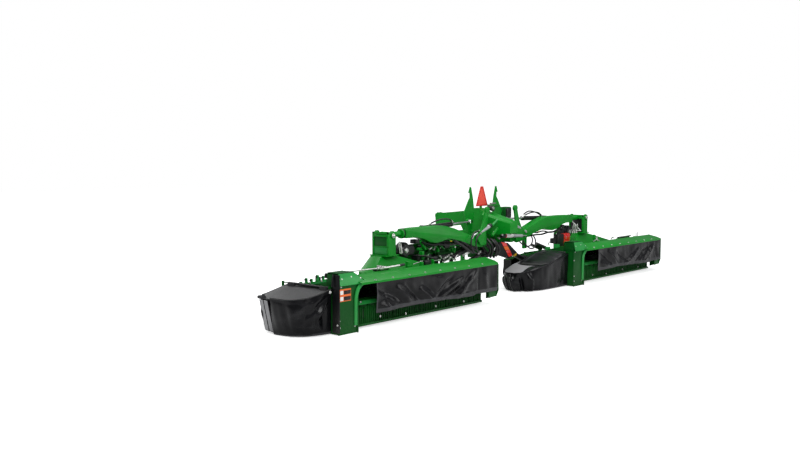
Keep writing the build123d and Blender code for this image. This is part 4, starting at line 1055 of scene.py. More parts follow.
LINK_PATHS = {
    "left": [
        ((2.25, 0.70, 0.70), (2.40, 0.66, 0.735), (2.52, 0.72, 0.70)),
        ((2.66, 0.66, 0.72), (2.90, 0.70, 0.715)),
        ((3.26, 0.78, 0.655), (3.34, 0.82, 0.715), (3.45, 0.80, 0.665), (3.55, 0.84, 0.73)),
        ((3.05, 0.75, 0.66), (3.26, 0.78, 0.69))],
    "right": [
        ((1.20, 0.34, 0.74), (1.32, 0.33, 0.775), (1.42, 0.35, 0.74)),
        ((1.30, 0.30, 0.745), (1.40, 0.38, 0.80)), ((2.05, 0.40, 0.73), (2.16, 0.42, 0.755)),
        ((2.30, 0.36, 0.755), (2.82, 0.36, 0.757))],
}
PIVOT = Vector((0, 0.02, 0))
for side in SIDES:
    unit = f"{side}_unit"
    at = partial(spot, side)
    groups = from_tables(at, FITTINGS[side])
    for path in LINK_PATHS[side]:
        for start, end in zip(path, path[1:]):
            groups["zinc"].append(shape_rod(at(*start), at(*end), 0.009, sides=10))
            groups["zinc"].append(shape_rod(at(*end) - PIVOT, at(*end) + PIVOT, 0.014, sides=12))
    for along in (0.85, 1.65, 2.45, 3.25):
        post = shape_box(at(along, 0.46, 0.69), at(along + 0.06, 0.50, hood_top(0.46) + 0.012), 0.003)
        groups["green_paint"].append(post)
    settle(groups["zinc"], f"{side}_hood_links", unit, "zinc")
    settle(groups["black_paint"], f"{side}_hood_latches", unit, "black_paint")
    settle(groups["green_paint"], f"{side}_hood_posts", unit, "green_paint", "panel_green")

# %% [markdown]
# ## Hangers
# The outboard face of each hanger has a framed window with a bar across its top, and a pin at its rear.

# %% Frame the hangers' windows
HANGER_REAR, HANGER_FRONT = LIP + 0.80, LIP + 1.13
HANGER_FOOT, HANGER_TOP, PIN_HEIGHT = 0.865, 1.215, 1.16
WINDOW_LENGTH = HANGER_FRONT - HANGER_REAR


def slab(side, depth, rear, foot, front, top, bevel):
    """A flat box on a hanger's face; rear and front are insets from the ends of its window."""
    face = HANGER[side] - 0.08
    return shape_box((face - depth, HANGER_REAR + rear, foot), (face + 0.001, HANGER_FRONT - front, top),
                     bevel)


def window_bar(side, rear, front, height):
    """A thin bar before the window, from its low rear end up to a height."""
    x = HANGER[side] - 0.092
    return shape_rod((x, HANGER_REAR + rear, 0.90), (x, HANGER_FRONT - front, height), 0.008)


for side in SIDES:
    unit = f"{side}_unit"
    parts = [slab(side, 0.016, 0, HANGER_FOOT, WINDOW_LENGTH - 0.034, HANGER_TOP, 0.004),
             slab(side, 0.016, WINDOW_LENGTH - 0.034, HANGER_FOOT, 0, HANGER_TOP, 0.004),
             slab(side, 0.016, 0, HANGER_TOP - 0.034, 0, HANGER_TOP, 0.004),
             slab(side, 0.022, 0.03, HANGER_TOP - 0.075, 0.03, HANGER_TOP - 0.042, 0.006)]
    if side == "left":
        parts.append(slab(side, 0.016, 0, 0.985, 0, 1.0, 0.003))
        # The left window's plate takes the darker green, which paints the shade in the window.
        window, window_finish = slab(side, 0.006, 0.03, 1.0, 0.03, 1.15, 0.002), "dark_green"
        plate = slab(side, 0.008, 0.03, 0.875, 0.03, 0.985, 0.002)
        # The plate below the window takes the lighter green, which paints the light on it.
        settle([plate], "left_hanger_plate", unit, "worn_green")
    else:
        window, window_finish = slab(side, 0.004, 0.03, 0.875, 0.03, 1.15, 0.002), "black_paint"
        bars = [window_bar(side, 0.06, 0.05, 1.11), window_bar(side, 0.05, 0.05, 0.90)]
        settle(bars, "right_hanger_bars", unit, "plain_white")
    settle([window], f"{side}_hanger_window", unit, window_finish, "panel_green")
    settle(parts, f"{side}_hanger_frame", unit, "green_paint")
    pin = []
    for start, end, radius, sides in ((0.03, 0.008, 0.036, 24), (0.044, 0.028, 0.018, 20)):
        ends = [(HANGER[side], HANGER_REAR - back, PIN_HEIGHT) for back in (start, end)]
        pin.append(shape_rod(*ends, radius, sides=sides, bevel=0.004))
    settle(pin, f"{side}_hanger_pin", unit, "zinc")
print("hood fittings and hangers dressed")

# %% [markdown]
# ## Closed ends
# At the end away from the side guard a small folded plate with a foot closes the corner between the hood,
# the rear curtain and the end wall. Without it one could see through the machine.

# %% Close the outer ends
END_PLATE = ((3.578, 0.022, 0.64), (3.578, 0.022, 0.22), (3.578, 0.06, 0.12), (3.578, 0.27, 0.06),
             (3.578, 0.27, 0.70))
END_FOOT = ((3.36, 0.056, 0.11), (3.582, 0.056, 0.13), (3.582, 0.056, 0.25), (3.36, 0.056, 0.25))
for side in SIDES:
    plate = shape_plate([spot(side, *point) for point in END_PLATE], (0.006, 0, 0), bevel=0.002)
    foot = shape_plate([spot(side, *point) for point in END_FOOT], (0, 0.006, 0), bevel=0.002)
    # The closer takes the darker green, which paints the shade at the hood's end.
    settle([plate, foot], f"{side}_end_closer", f"{side}_unit", "dark_green")
print("ends closed")

# %% [markdown]
# ## Side guards
# The left guard's loose rear flap is a second sheet. It is folded over the deck's rim, bulges out and
# creases in slanting folds where it is tied back to the panel. The outer corner shows clear black strips.
# The right guard carries a glossy moulded shell with a fan of tarpaulin below it and a light-grey flap.

# %% Lay the flaps over the side guards
NOSE_WEST = {side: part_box(f"{side}_side_guard")[0].x for side in SIDES}
FLAP_LENGTH, RIM_START, RIM_END = 1.00, 0.30, 0.004
FLAP_STEPS, FLAP_FOOT = 10, 0.014
FAN_REACH, FAN_FALL, FAN_WIDTH = 0.45, 0.075, 0.50
FLAP_RIDGES = [
    (0.62, 0.05, 0.50, 0.42, 0.035, 0.020), (0.94, 0.05, 0.62, 0.22, 0.040, 0.026),
    (0.92, 0.14, 0.68, 0.34, 0.035, -0.020),
    (0.93, 0.20, 0.76, 0.48, 0.040, 0.022), (0.86, 0.34, 0.84, 0.56, 0.035, 0.018),
    (0.72, 0.24, 0.70, 0.42, 0.025, 0.018),
    (0.05, 0.02, 0.52, 0.07, 0.02, 0.016), (0.30, 0.10, 0.34, 0.5, 0.08, 0.014),
    (0.56, 0.10, 0.98, 0.05, 0.016, -0.014)]
FAN_RIDGES = [(0.06 + 0.155 * i, 0.0, 0.02 + 0.175 * i, 0.46, 0.030 + 0.002 * (i % 3), 0.046 * (-1) ** i)
              for i in range(10)]


def part_of_line(points, start, end, pieces=26):
    """A stretch of a line in plan, resampled evenly."""
    return [along_line(points, start + (end - start) * i / pieces)[0] for i in range(pieces + 1)]


def flap_height(u):
    """Height of the flap's fold over the rim, at a distance along it."""
    return deck_height("left", along_line(flap_line, min(u, 0.98))[0][0]) + 0.034


def flap_bulge(u, v):
    """The flap stands out in its middle and is drawn in at the ground."""
    belly = 0.034 * math.sin(math.pi * min(1.0, v * 0.96)) * math.sin(math.pi * min(1.0, 0.15 + 0.8 * u))
    return belly - 0.085 * v ** 2.2


def fan_bulge(u, v):
    """The fan is drawn in below its rim and stands out at the ground."""
    return -(0.06 * v ** 1.5 - 0.02 * math.sin(math.pi * v))


def pulled(x):
    """How far the fan is pulled out at a place of the rim: 1 at the outer side, 0 at the panel."""
    return max(0.0, min(1.0, (NOSE_WEST["right"] + FAN_WIDTH - x) / FAN_WIDTH)) ** 1.2


def fan_top(x):
    """Height of the fan's rim over a place of the guard's own rim."""
    return deck_height("right", x) + 0.02 - FAN_FALL * pulled(x)


def fan_height(u):
    """Height of the fan's rim at a distance along its line."""
    share = max(0.0, min(0.999, u / fan_length)) * (len(rim_stations) - 1)
    i = int(share)
    first, second = fan_top(rim_stations[i][0]), fan_top(rim_stations[i + 1][0])
    return first + (second - first) * (share - i)


hanging.clear()
left_rim, right_rim = nose_line("left", -0.004), nose_line("right", -0.004)
rim_length = line_length(left_rim)
flap_line = part_of_line(left_rim, rim_length - FLAP_LENGTH, rim_length - RIM_END)
rim_stations = part_of_line(right_rim, RIM_START, line_length(right_rim) - RIM_END, 34)
fan_line = [(x - FAN_REACH * pulled(x), y) for x, y in rim_stations]
fan_length = line_length(fan_line)
loose_edges = {"waves": 0.005, "cell": 0.024, "outward": -1, "hem_side": 0.0, "hem_foot": 0.0}
flap, flap_length, flap_drop = hang_sheet("left_flap_cloth", flap_line, flap_height, level(FLAP_FOOT),
                                          FLAP_RIDGES, seed=11, draw_in=flap_bulge, **loose_edges)
fan, _, fan_drop = hang_sheet("right_fan_cloth", fan_line, fan_height, level(FLAP_FOOT), FAN_RIDGES,
                              seed=12, draw_in=fan_bulge, **loose_edges)
simulate_all(hanging, FLAP_STEPS)
for piece, hem_faces in hanging:
    finish_sheet(piece, hem_faces, "tarpaulin", piece.name.split("_")[0] + "_side_guard")
print("flap", round(flap_length, 3), round(flap_drop, 3), "fan", round(fan_length, 3), round(fan_drop, 3))

# %% [markdown]
# ## Details of the left guard
# The flap's fold over the deck is rolled, clear strips stand at the outer corner, and a strap with two nuts
# holds the flap's edge at the end panel. The strips are a light grey that paints their highlights, and the
# strap is widened into a black band that is partly strap and partly painted shade along the panel's edge.
# The roll and the strips follow the rim, so they are placed by their distance along its line.

# %% Add the rolled top, strips, lug and straps of the left guard
STRIPS, STRIP_START, STRIP_PITCH, STRIP_WIDTH, STRIP_DRAW = 5, 1.46, 0.088, 0.07, 0.10
ROLL_STEPS = 9
roll = []
for i in range(ROLL_STEPS + 1):
    distance = rim_length - FLAP_LENGTH + (FLAP_LENGTH - 0.02) * i / ROLL_STEPS
    (x, y), _ = along_line(left_rim, distance)
    roll.append((x, y, deck_height("left", x) + 0.034))
settle([shape_pipe(roll, 0.009)], "left_flap_roll", "left_side_guard", "rubber", "curtain_black")
strips = []
for i in range(STRIPS):
    start = rim_length - STRIP_START + STRIP_PITCH * i
    (x0, y0), _ = along_line(left_rim, start)
    (x1, y1), _ = along_line(left_rim, start + STRIP_WIDTH)
    top = deck_height("left", x0) - 0.004
    outline = [(x0 - 0.012, y0, top), (x1 - 0.012, y1, top),
               (x1 + STRIP_DRAW - 0.012, y1, 0.03), (x0 + STRIP_DRAW - 0.012, y0, 0.03)]
    strips.append(shape_plate(outline, (-0.004, 0, 0.001)))
# The strips take the light grey that paints their highlights.
settle(strips, "left_clear_strips", "left_side_guard", "clear_black")
west = NOSE_WEST["left"]
lug = shape_box((west - 0.004, LIP + 0.93, 0.462), (west + 0.055, LIP + 1.06, 0.505), 0.016)
knob = shape_rod((west + 0.02, LIP + 0.96, 0.49), (west + 0.02, LIP + 0.96, 0.528), 0.02, bevel=0.006)
settle([lug, knob], "left_nose_lug", "left_side_guard", "deck_plastic")
at = partial(spot, "left")
# A wide black band down the panel's left edge: part strap, part painted shade on that edge.
strap = shape_box(at(-0.009, 0.058, 0.03), at(-0.002, 0.195, 0.800), 0.003)
pad = shape_pipe([at(-0.012, 0.16, 0.80), at(-0.03, 0.17, 0.74), at(-0.035, 0.17, 0.64)], 0.014)
settle([strap, pad], "left_panel_strap", "left_unit", "black_paint", "curtain_black")
nuts = bolts([at(-0.05, 0.195, 0.572)], (-0.4, -1, 0), 0.014)
nuts += bolts([at(-0.02, 0.088, 0.14)], (-0.2, -1, 0), 0.009)
settle(nuts, "left_flap_nuts", "left_unit", "zinc")

# %% [markdown]
# ## Hinge brackets
# Green brackets with black knobs stand beside the left hood, over the hinge of its side guard, and two plain
# ones beside the right hood. They are cut plates, so boxes with rounded edges are enough.

# %% Add the brackets over the guards' hinges
green_parts, black_parts = [], []
for ahead, tall, deep in ((0.36, 0.060, 0.05), (0.46, 0.085, 0.07), (0.58, 0.055, 0.06), (0.68, 0.080, 0.06),
                          (0.78, 0.045, 0.07)):
    foot = hood_top(ahead) - 0.012
    middle, knob_height = ahead + deep / 2, foot + tall - 0.022
    low_corner, high_corner = at(0.006, ahead, foot), at(0.020, ahead + deep, foot + tall)
    green_parts.append(shape_box(low_corner, high_corner, 0.004, taper=0.8))
    knob_ends = at(-0.016, middle, knob_height), at(0.006, middle, knob_height)
    black_parts.append(shape_rod(*knob_ends, 0.014, bevel=0.004))
rail = shape_box(at(0.004, 0.32, 0.66), at(0.018, 0.95, 0.695), 0.004)
for vertex in rail.data.vertices:
    vertex.co.z -= DECK_SLOPE * (vertex.co.y - LIP - 0.32) - 0.03
black_parts.append(shape_box(at(0.03, 0.50, 0.665), at(0.09, 0.56, 0.735), 0.01))
# The brackets take the lighter green, which paints the light on their faces.
settle(green_parts + [rail], "left_hinge_brackets", "left_unit", "worn_green", "frame_green")
settle(black_parts, "left_hinge_knobs", "left_unit", "guard_plastic")
parts = bolts([at(0.004, 0.40, 0.70), at(0.004, 0.62, 0.655)], (-1, 0, 0), 0.01)
settle(parts, "left_hinge_bolts", "left_unit", "zinc")
at = partial(spot, "right")
# These brackets also take the lighter green, which paints the light on them.
brackets = [shape_box(at(0.01, 0.40, 0.66), at(0.03, 0.52, 0.76), 0.005),
            shape_box(at(0.012, 0.60, 0.60), at(0.03, 0.70, 0.70), 0.005)]
settle(brackets, "right_hinge_brackets", "right_unit", "worn_green", "frame_green")

# %% [markdown]
# ## Moulded shell
# A glossy moulded shell with a low dome and two creases covers the inner part of the right guard. A grid
# whose heights follow a formula gives such a soft form more easily than a block that is cut and rounded.

# %% Mould the shell of the right guard
SHELL_LENGTH, SHELL_WALL = 0.62, 0.006
shell_end = LEFT_END["right"] - 0.03
shell_low, shell_high = (shell_end - SHELL_LENGTH, LIP + 0.185), (shell_end, LIP + 0.81)
deselect()
bpy.ops.mesh.primitive_grid_add(x_subdivisions=26, y_subdivisions=20, size=1)
shell = bpy.context.object
for vertex in shell.data.vertices:
    a, b = vertex.co.x + 0.5, vertex.co.y + 0.5
    x = shell_low[0] + (shell_high[0] - shell_low[0]) * a
    y = shell_low[1] + (shell_high[1] - shell_low[1]) * b
    rise = (max(0.0, 1 - abs(2 * a - 1.05) ** 3.2) * max(0.0, 1 - abs(2 * b - 1) ** 3.0)) ** 0.45
    crease = 0.010 * math.exp(-((a - 0.42 - 0.25 * b) / 0.05) ** 2)
    crease += 0.008 * math.exp(-((a - 0.72) / 0.04) ** 2)
    vertex.co = (x, y, deck_height("right", x) + 0.018 + rise * (0.085 - 0.055 * (1 - a)) + crease * rise)
thicken(shell, SHELL_WALL, offset=-1)
settle([shell], "right_moulded_shell", "right_side_guard", "moulded_black", "deck_grey", smooth=60)

# %% [markdown]
# ## Grey flap and black apron
# Between the guard's own rim and the fan's rim, which is pulled out, lie a light-grey flap and behind it
# black tarpaulin. Both rims are lines with the same stations, so a strip is spanned from one to the other.

# %% Span the grey flap and the black apron between rim and fan
APRON_ROWS = 6


def apron(name, first, last, finish, lift=0.0):
    """A strip between the guard's rim and the fan's rim, over a run of stations."""
    vertices, faces = [], []
    for i in range(first, last + 1):
        (x, y), (fan_x, fan_y) = rim_stations[i], fan_line[i]
        top = deck_height("right", x) + 0.030 + lift
        foot = fan_top(x) + 0.004 + lift
        for j in range(APRON_ROWS + 1):
            share = j / APRON_ROWS
            swell = 0.035 * math.sin(math.pi * share) * pulled(x) + 0.004 * math.sin(2.2 * i + 4 * share)
            vertices.append((x + (fan_x - x) * share + 0.05 * (1 - share), y + (fan_y - y) * share,
                             top + (foot - top) * share + swell))
    for i in range(last - first):
        for j in range(APRON_ROWS):
            a = i * (APRON_ROWS + 1) + j
            faces.append((a, a + 1, a + APRON_ROWS + 2, a + APRON_ROWS + 1))
    mesh = bpy.data.meshes.new(name)
    mesh.from_pydata(vertices, [], faces)
    piece = bpy.data.objects.new(name, mesh)
    bpy.context.scene.collection.objects.link(piece)
    area = sum(face.area for face in mesh.polygons)
    thicken(piece, CLOTH, levels=2)
    settle([piece], name, "right_side_guard", finish, smooth=70)
    return area


last_station = len(rim_stations) - 1
grey_end = last_station // 2
grey_area = apron("right_grey_flap", 0, grey_end, "flap_grey", lift=0.004)
black_area = apron("right_black_apron", grey_end - 1, last_station, "tarpaulin")
print("grey flap area", round(grey_area, 4), "apron area", round(black_area, 4))
bar_stations = rim_stations[:grey_end + 6:3]
bar_line = [Vector((x + 0.045, y, deck_height("right", x) + 0.045)) for x, y in bar_stations]
parts = [shape_pipe(bar_line, 0.013)]
for place in bar_line[1:-1:2]:
    parts.append(shape_box(place + Vector((-0.05, -0.02, -0.03)), place + Vector((-0.01, 0.02, 0.0)), 0.004))
settle(parts, "right_flap_bar", "right_side_guard", "guard_plastic")
print("side guards dressed")

# %% [markdown]
# ## Machinery below the arms
# Between each arm and its mowing unit sit the suspension springs, a round belt housing, green rails, zinc
# links and the guards of the drive shaft. The first two tables are for both wings, the others for the
# left one, where more of it can be seen.

# %% Build the arm and unit machinery
CENTRE_X = 0.275


def wing(side, distance, ahead, height):
    """A place on a wing, from the machine's centre line."""
    return Vector((CENTRE_X + (distance if side == "right" else -distance), LIP + ahead, height))


# Rows in the darker green paint the shade under the arms and hoods.
ARM_GEAR = {
    "guard_plastic rod": [(2.59, 0.96, 1.16, 2.55, 0.96, 1.16, 0.078)],
    "black_paint box": [(2.30, 0.90, 0.985, 2.20, 1.02, 1.05, 0.008)],
    "green_paint rod": [(2.16, 0.93, 1.02, 2.00, 0.95, 0.87, 0.022)],
    "black_paint pipe": [
        (0.017, (2.15, 0.90, 1.00), (1.95, 0.88, 0.93), (1.70, 0.90, 0.94), (1.48, 0.92, 0.90),
         (1.22, 0.90, 0.92), (1.02, 0.92, 0.90)),
        (0.014, (2.05, 0.93, 0.96), (1.85, 0.92, 0.90), (1.55, 0.94, 0.98), (1.30, 0.93, 0.93),
         (1.10, 0.94, 0.99))],
    "plain_yellow box": [(1.372, 0.90, 0.955, 1.352, 0.93, 0.975, 0.002)],
}
UNIT_GEAR = {
    "black_paint rod": [
        (2.52, 0.93, 0.895, 2.52, 1.05, 0.895, 0.128, 36),
        (2.34, 0.95, 0.885, 2.34, 1.06, 0.885, 0.085, 28)],
    "moulded_black rod": [(2.52, 0.905, 0.895, 2.52, 0.935, 0.895, 0.100, 32)],
    "zinc rod": [
        (2.52, 0.885, 0.895, 2.52, 0.91, 0.895, 0.034), (2.05, 0.85, 0.70, 2.05, 0.85, 0.80, 0.011),
        (1.66, 0.88, 0.70, 1.72, 0.88, 0.755, 0.012)],
    "cut_steel cone": [(2.52, 0.90, 0.895, 2.52, 0.93, 0.895, 0.045, 0.055)],
    "dark_green box": [(2.66, 1.0, 0.845, 2.24, 1.09, 0.76, 0.008)],
    "black_paint box": [(2.28, 0.88, 0.80, 1.92, 1.0, 0.70, 0.012)],
    "green_paint box": [(2.18, 0.86, 0.72, 2.13, 0.93, 0.86, 0.005)],
    "dark_green rod": [(2.20, 0.86, 0.74, 1.98, 0.88, 0.80, 0.018)],
    "rubber pipe": [(0.013, (2.30, 0.86, 0.80), (2.12, 0.84, 0.79), (1.98, 0.84, 0.73), (1.82, 0.86, 0.72))],
    "guard_plastic rod": [
        (1.62, 0.92, 0.64, 1.36, 0.96, 0.73, 0.035), (1.56, 0.97, 0.61, 1.30, 1.02, 0.71, 0.028)],
}
LEFT_ARM_GEAR = {
    "green_paint box": [
        (2.12, 0.98, 0.900, 0.95, 1.03, 0.860, 0.006), (2.02, 0.96, 1.040, 1.96, 1.02, 0.86, 0.006),
        (1.63, 0.98, 0.98, 1.58, 1.03, 0.80, 0.006), (1.18, 1.03, 0.900, 1.10, 1.10, 0.770, 0.006)],
    "dark_green box": [
        (1.95, 1.03, 0.975, 1.25, 1.07, 0.935, 0.006), (1.86, 1.0, 1.0, 1.80, 1.05, 0.82, 0.006),
        (1.42, 1.0, 0.96, 1.30, 1.05, 0.84, 0.008), (2.14, 1.15, 0.950, 1.50, 1.19, 0.790, 0.010),
        (1.02, 1.04, 0.870, 0.70, 1.08, 0.720, 0.010), (1.44, 1.13, 0.800, 0.98, 1.19, 0.645, 0.008)],
    "dark_green rod": [
        (1.75, 0.94, 0.98, 1.52, 0.94, 0.84, 0.020), (1.20, 0.94, 0.96, 0.98, 0.98, 0.88, 0.020),
        (1.86, 1.04, 0.960, 1.62, 1.04, 0.780, 0.022), (1.30, 1.02, 0.800, 1.08, 1.02, 0.930, 0.020)],
    "black_paint box": [
        (1.98, 1.05, 0.93, 1.72, 1.15, 0.85, 0.015), (1.54, 1.16, 0.930, 0.96, 1.20, 0.770, 0.010)],
    "black_paint rod": [
        (1.12, 1.0, 0.93, 0.98, 1.0, 0.93, 0.06), (1.50, 0.98, 0.90, 1.36, 0.98, 0.90, 0.05)],
    "zinc rod": [
        (1.60, 0.95, 0.86, 1.60, 0.95, 0.93, 0.012), (1.24, 0.93, 0.90, 1.20, 0.93, 0.935, 0.016),
        (1.90, 0.95, 0.865, 1.84, 0.95, 0.885, 0.013), (1.06, 0.95, 0.862, 1.00, 0.95, 0.862, 0.012)],
    "zinc spring": [
        (1.76, 0.98, 0.84, 1.66, 0.98, 0.935, 0.02, 0.005, 6),
        (1.06, 0.90, 0.70, 0.84, 0.90, 0.76, 0.02, 0.005, 9)],
    "guard_plastic rod": [(1.30, 0.94, 0.690, 0.64, 0.98, 0.835, 0.046)],
    "guard_plastic cone": [(0.86, 0.96, 0.785, 0.64, 0.98, 0.840, 0.052, 0.088)],
    "rubber pipe": [
        (0.022, (1.30, 0.90, 0.97), (1.16, 0.86, 0.90), (0.98, 0.85, 0.80), (0.80, 0.87, 0.73)),
        (0.018, (1.20, 0.92, 1.00), (1.06, 0.88, 0.93), (0.90, 0.87, 0.84), (0.74, 0.88, 0.77))],
}
LEFT_UNIT_GEAR = {
    "black_paint box": [
        (1.92, 0.90, 0.745, 1.34, 1.02, 0.66, 0.012), (1.82, 1.22, 0.835, 1.30, 1.30, 0.530, 0.010)],
    "dark_green box": [
        (2.46, 1.22, 0.860, 1.80, 1.30, 0.540, 0.010), (2.30, 1.02, 0.760, 2.22, 1.24, 0.560, 0.006),
        (1.70, 1.02, 0.700, 1.62, 1.24, 0.550, 0.006)],
    "green_paint box": [(1.90, 1.18, 0.800, 1.50, 1.22, 0.740, 0.006)],
    "zinc spring": [(1.62, 0.88, 0.68, 1.42, 0.88, 0.74, 0.018, 0.005, 8)],
    "black_paint rod": [(1.42, 0.86, 0.60, 1.42, 0.86, 0.75, 0.03)],
    "zinc rod": [(1.42, 0.86, 0.75, 1.42, 0.86, 0.772, 0.018)],
}
SPRINGS, SPRING_X, SPRING_Y = 3, 2.70, 0.86
for side in SIDES:
    at = partial(wing, side)
    arm_tables, unit_tables = [ARM_GEAR], [UNIT_GEAR]
    if side == "left":
        arm_tables.append(LEFT_ARM_GEAR)
        unit_tables.append(LEFT_UNIT_GEAR)
    settle_groups(from_tables(at, *arm_tables), f"{side}_arm_gear", f"{side}_arm")
    settle_groups(from_tables(at, *unit_tables), f"{side}_unit_gear", f"{side}_unit")
    parts = []
    for i in range(SPRINGS):
        x, y = SPRING_X - 0.035 * i, SPRING_Y + 0.02 * i
        parts.append(shape_spring(at(x, y, 0.865), at(x + 0.045, y, 1.03), 0.014, 0.005, 12))
        parts.append(shape_rod(at(x, y, 0.855), at(x + 0.05, y, 1.05), 0.006, sides=10))
    settle(parts, f"{side}_suspension_springs", f"{side}_unit", "zinc")
print("machinery placed")

# %% [markdown]
# ## Bellows on the drive shafts
# The joints at each end of a drive shaft turn inside ribbed cones of black rubber. Rings along a short
# axis, each smaller than the one before, make such a bellows.

# %% Make the bellows
RING_HALF, RING_BEVEL, CORE_SHARE, BELLOWS_SIDES = 0.32, 0.2, 0.82, 24


def bellows(start, end, radius, ribs, taper):
    """A ribbed cone between two places."""
    rings = []
    for i in range(ribs):
        share = (i + 0.5) / ribs
        size = radius * (1 + (taper - 1) * share)
        middle = start.lerp(end, share)
        half = (end - start) * (RING_HALF / ribs)
        rings.append(shape_rod(middle - half, middle + half, size, sides=BELLOWS_SIDES,
                               bevel=size * RING_BEVEL))
    core = radius * CORE_SHARE
    rings.append(shape_rod(start, end, core, core * taper, sides=BELLOWS_SIDES, bevel=0.003))
    return rings


for side in SIDES:
    at = partial(wing, side)
    inner = bellows(at(0.245, 1.0, 0.752), at(0.36, 1.0, 0.715), 0.105, 6, 0.72)
    settle(inner, f"{side}_inner_bellows", "carrier", "rubber")
    outer = bellows(at(1.165, 1.0, 0.41), at(1.075, 1.0, 0.445), 0.090, 5, 0.75)
    settle(outer, f"{side}_outer_bellows", f"{side}_unit", "rubber")
print("bellows made")

# %% [markdown]
# ## Warning triangle
# A red border frames the triangle, and a fitting of rubber and zinc stands below it. The border is made of
# rods between the corners, pressed flat, because round ends close the corners by themselves.

# %% Dress the warning triangle
BORDER_FLATTEN = 0.25
low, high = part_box("warning_triangle")
rear = low.y - 0.0035
mid_x = (low.x + high.x) / 2
corners = [Vector((low.x + 0.01, rear, low.z + 0.012)), Vector((high.x - 0.01, rear, low.z + 0.012)),
           Vector((mid_x + 0.03, rear, high.z - 0.01)), Vector((mid_x - 0.03, rear, high.z - 0.01))]
border = []
for start, end in zip(corners, corners[1:] + corners[:1]):
    border.append(shape_rod(start, end, 0.013, sides=10))
    for vertex in border[-1].data.vertices:
        vertex.co.y = rear + (vertex.co.y - rear) * BORDER_FLATTEN
settle(border, "triangle_border", "carrier", "border_red")


def below_triangle(x, ahead, height):
    """A place from the middle of the triangle's foot and the hoods' lip."""
    return Vector((mid_x + x, LIP + ahead, low.z + height))


fitting = from_tables(below_triangle, {
    "rubber bar": [
        (-0.005, 1.02, -0.03, -0.005, 1.12, -0.03, 0.045), (0.06, 1.04, -0.06, 0.06, 1.10, -0.06, 0.028)],
    "zinc bar": [(-0.005, 1.00, -0.03, -0.005, 1.02, -0.03, 0.026)]})
settle(fitting["rubber"], "triangle_fitting_rubber", "carrier", "rubber")
settle(fitting["zinc"], "triangle_fitting", "carrier", "zinc")
print("triangle", [round(v, 3) for v in low], [round(v, 3) for v in high])

# %% [markdown]
# ## Headstock and steering
# The centre carries most of the small parts: a bar between the transport hooks, a cylinder with a blank
# label, valve blocks and bundles of pipes. A steering cylinder sits on each knuckle. They come from
# tables, like the machinery below the arms.

# %% Dress the headstock
# Rows in the darker green paint the shade among the headstock's parts; the lighter green rod paints a highlight on
# a tube.
CENTRE_GEAR = {
    "green_paint box": [
        (-0.10, 1.18, 1.515, -0.44, 1.22, 1.485, 0.006), (-0.845, 0.90, 0.90, -0.885, 0.95, 0.68, 0.005),
        (-0.905, 0.90, 0.90, -0.94, 0.95, 0.68, 0.005)],
    "green_paint rod": [(0.34, 0.80, 1.00, 0.16, 0.80, 1.12, 0.028)],
    "worn_green rod": [(0.30, 0.82, 1.18, 0.14, 0.82, 1.27, 0.020)],
    "dark_green box": [
        (-0.60, 1.16, 1.45, -0.80, 1.30, 1.24, 0.012), (0.60, 1.02, 0.86, 0.20, 1.14, 0.62, 0.012)],
    "dark_green rod": [(0.52, 0.92, 0.92, 0.26, 0.92, 0.70, 0.024)],
    "black_paint box": [
        (-0.62, 1.14, 1.43, -0.78, 1.165, 1.26, 0.008), (0.18, 0.84, 0.86, -0.10, 0.93, 0.69, 0.012),
        (0.34, 0.96, 0.70, 0.02, 1.06, 0.60, 0.012)],
    "black_paint pipe": [
        (0.016, (-0.10, 0.80, 1.12), (-0.16, 0.78, 1.04), (-0.24, 0.80, 1.00), (-0.30, 0.84, 0.99))],
    "cut_steel box": [(-0.14, 1.16, 1.545, -0.30, 1.19, 1.520, 0.004)],
    "grey_enamel rod": [(-0.34, 0.83, 0.955, -0.66, 0.83, 0.935, 0.030, 24)],
    "plain_white rod": [(-0.12, 0.83, 0.966, -0.34, 0.83, 0.955, 0.0335, 24)],
    "border_red rod": [(-0.105, 0.83, 0.967, -0.13, 0.83, 0.9655, 0.0345, 24)],
    "chrome rod": [(-0.66, 0.83, 0.935, -0.80, 0.83, 0.926, 0.016)],
    "rubber rod": [(0.02, 0.83, 0.974, -0.105, 0.83, 0.967, 0.036)],
    "rubber pipe": [(0.018, (0.17, 0.88, 0.92), (0.14, 0.79, 0.82), (0.10, 0.79, 0.70), (0.16, 0.84, 0.62))],
    "guard_plastic pipe": [
        (0.022, (0.47, 0.88, 0.92), (0.42, 0.80, 0.84), (0.38, 0.80, 0.72), (0.44, 0.84, 0.63)),
        (0.022, (0.37, 0.88, 0.94), (0.34, 0.79, 0.85), (0.31, 0.79, 0.70), (0.34, 0.84, 0.61)),
        (0.022, (0.27, 0.88, 0.94), (0.24, 0.78, 0.86), (0.20, 0.78, 0.70), (0.24, 0.84, 0.60))],
    "zinc rod": [
        (0.10, 0.80, 0.93, 0.10, 0.84, 0.95, 0.018), (-0.20, 0.82, 0.80, -0.28, 0.82, 0.76, 0.016),
        (-0.30, 0.84, 0.72, -0.24, 0.84, 0.66, 0.014), (0.20, 0.82, 0.78, 0.24, 0.82, 0.74, 0.014),
        (0.02, 0.79, 1.00, 0.02, 0.84, 1.00, 0.022), (0.24, 0.80, 1.06, 0.24, 0.84, 1.06, 0.016)],
}
STEERING = {
    "grey_enamel rod": [(0.62, 0.86, 1.075, 0.36, 0.84, 1.165, 0.036, 24)],
    "chrome rod": [(0.80, 0.88, 1.015, 0.62, 0.86, 1.075, 0.018)],
    "black_paint rod": [(0.38, 0.84, 1.158, 0.33, 0.84, 1.175, 0.042)],
    "zinc rod": [(0.84, 0.85, 1.00, 0.84, 0.90, 1.00, 0.026)],
}
settle_groups(from_tables(partial(wing, "left"), CENTRE_GEAR), "centre_gear", "carrier")
for side in SIDES:
    settle_groups(from_tables(partial(wing, side), STEERING), f"{side}_steering", f"{side}_knuckle")
print("headstock dressed")

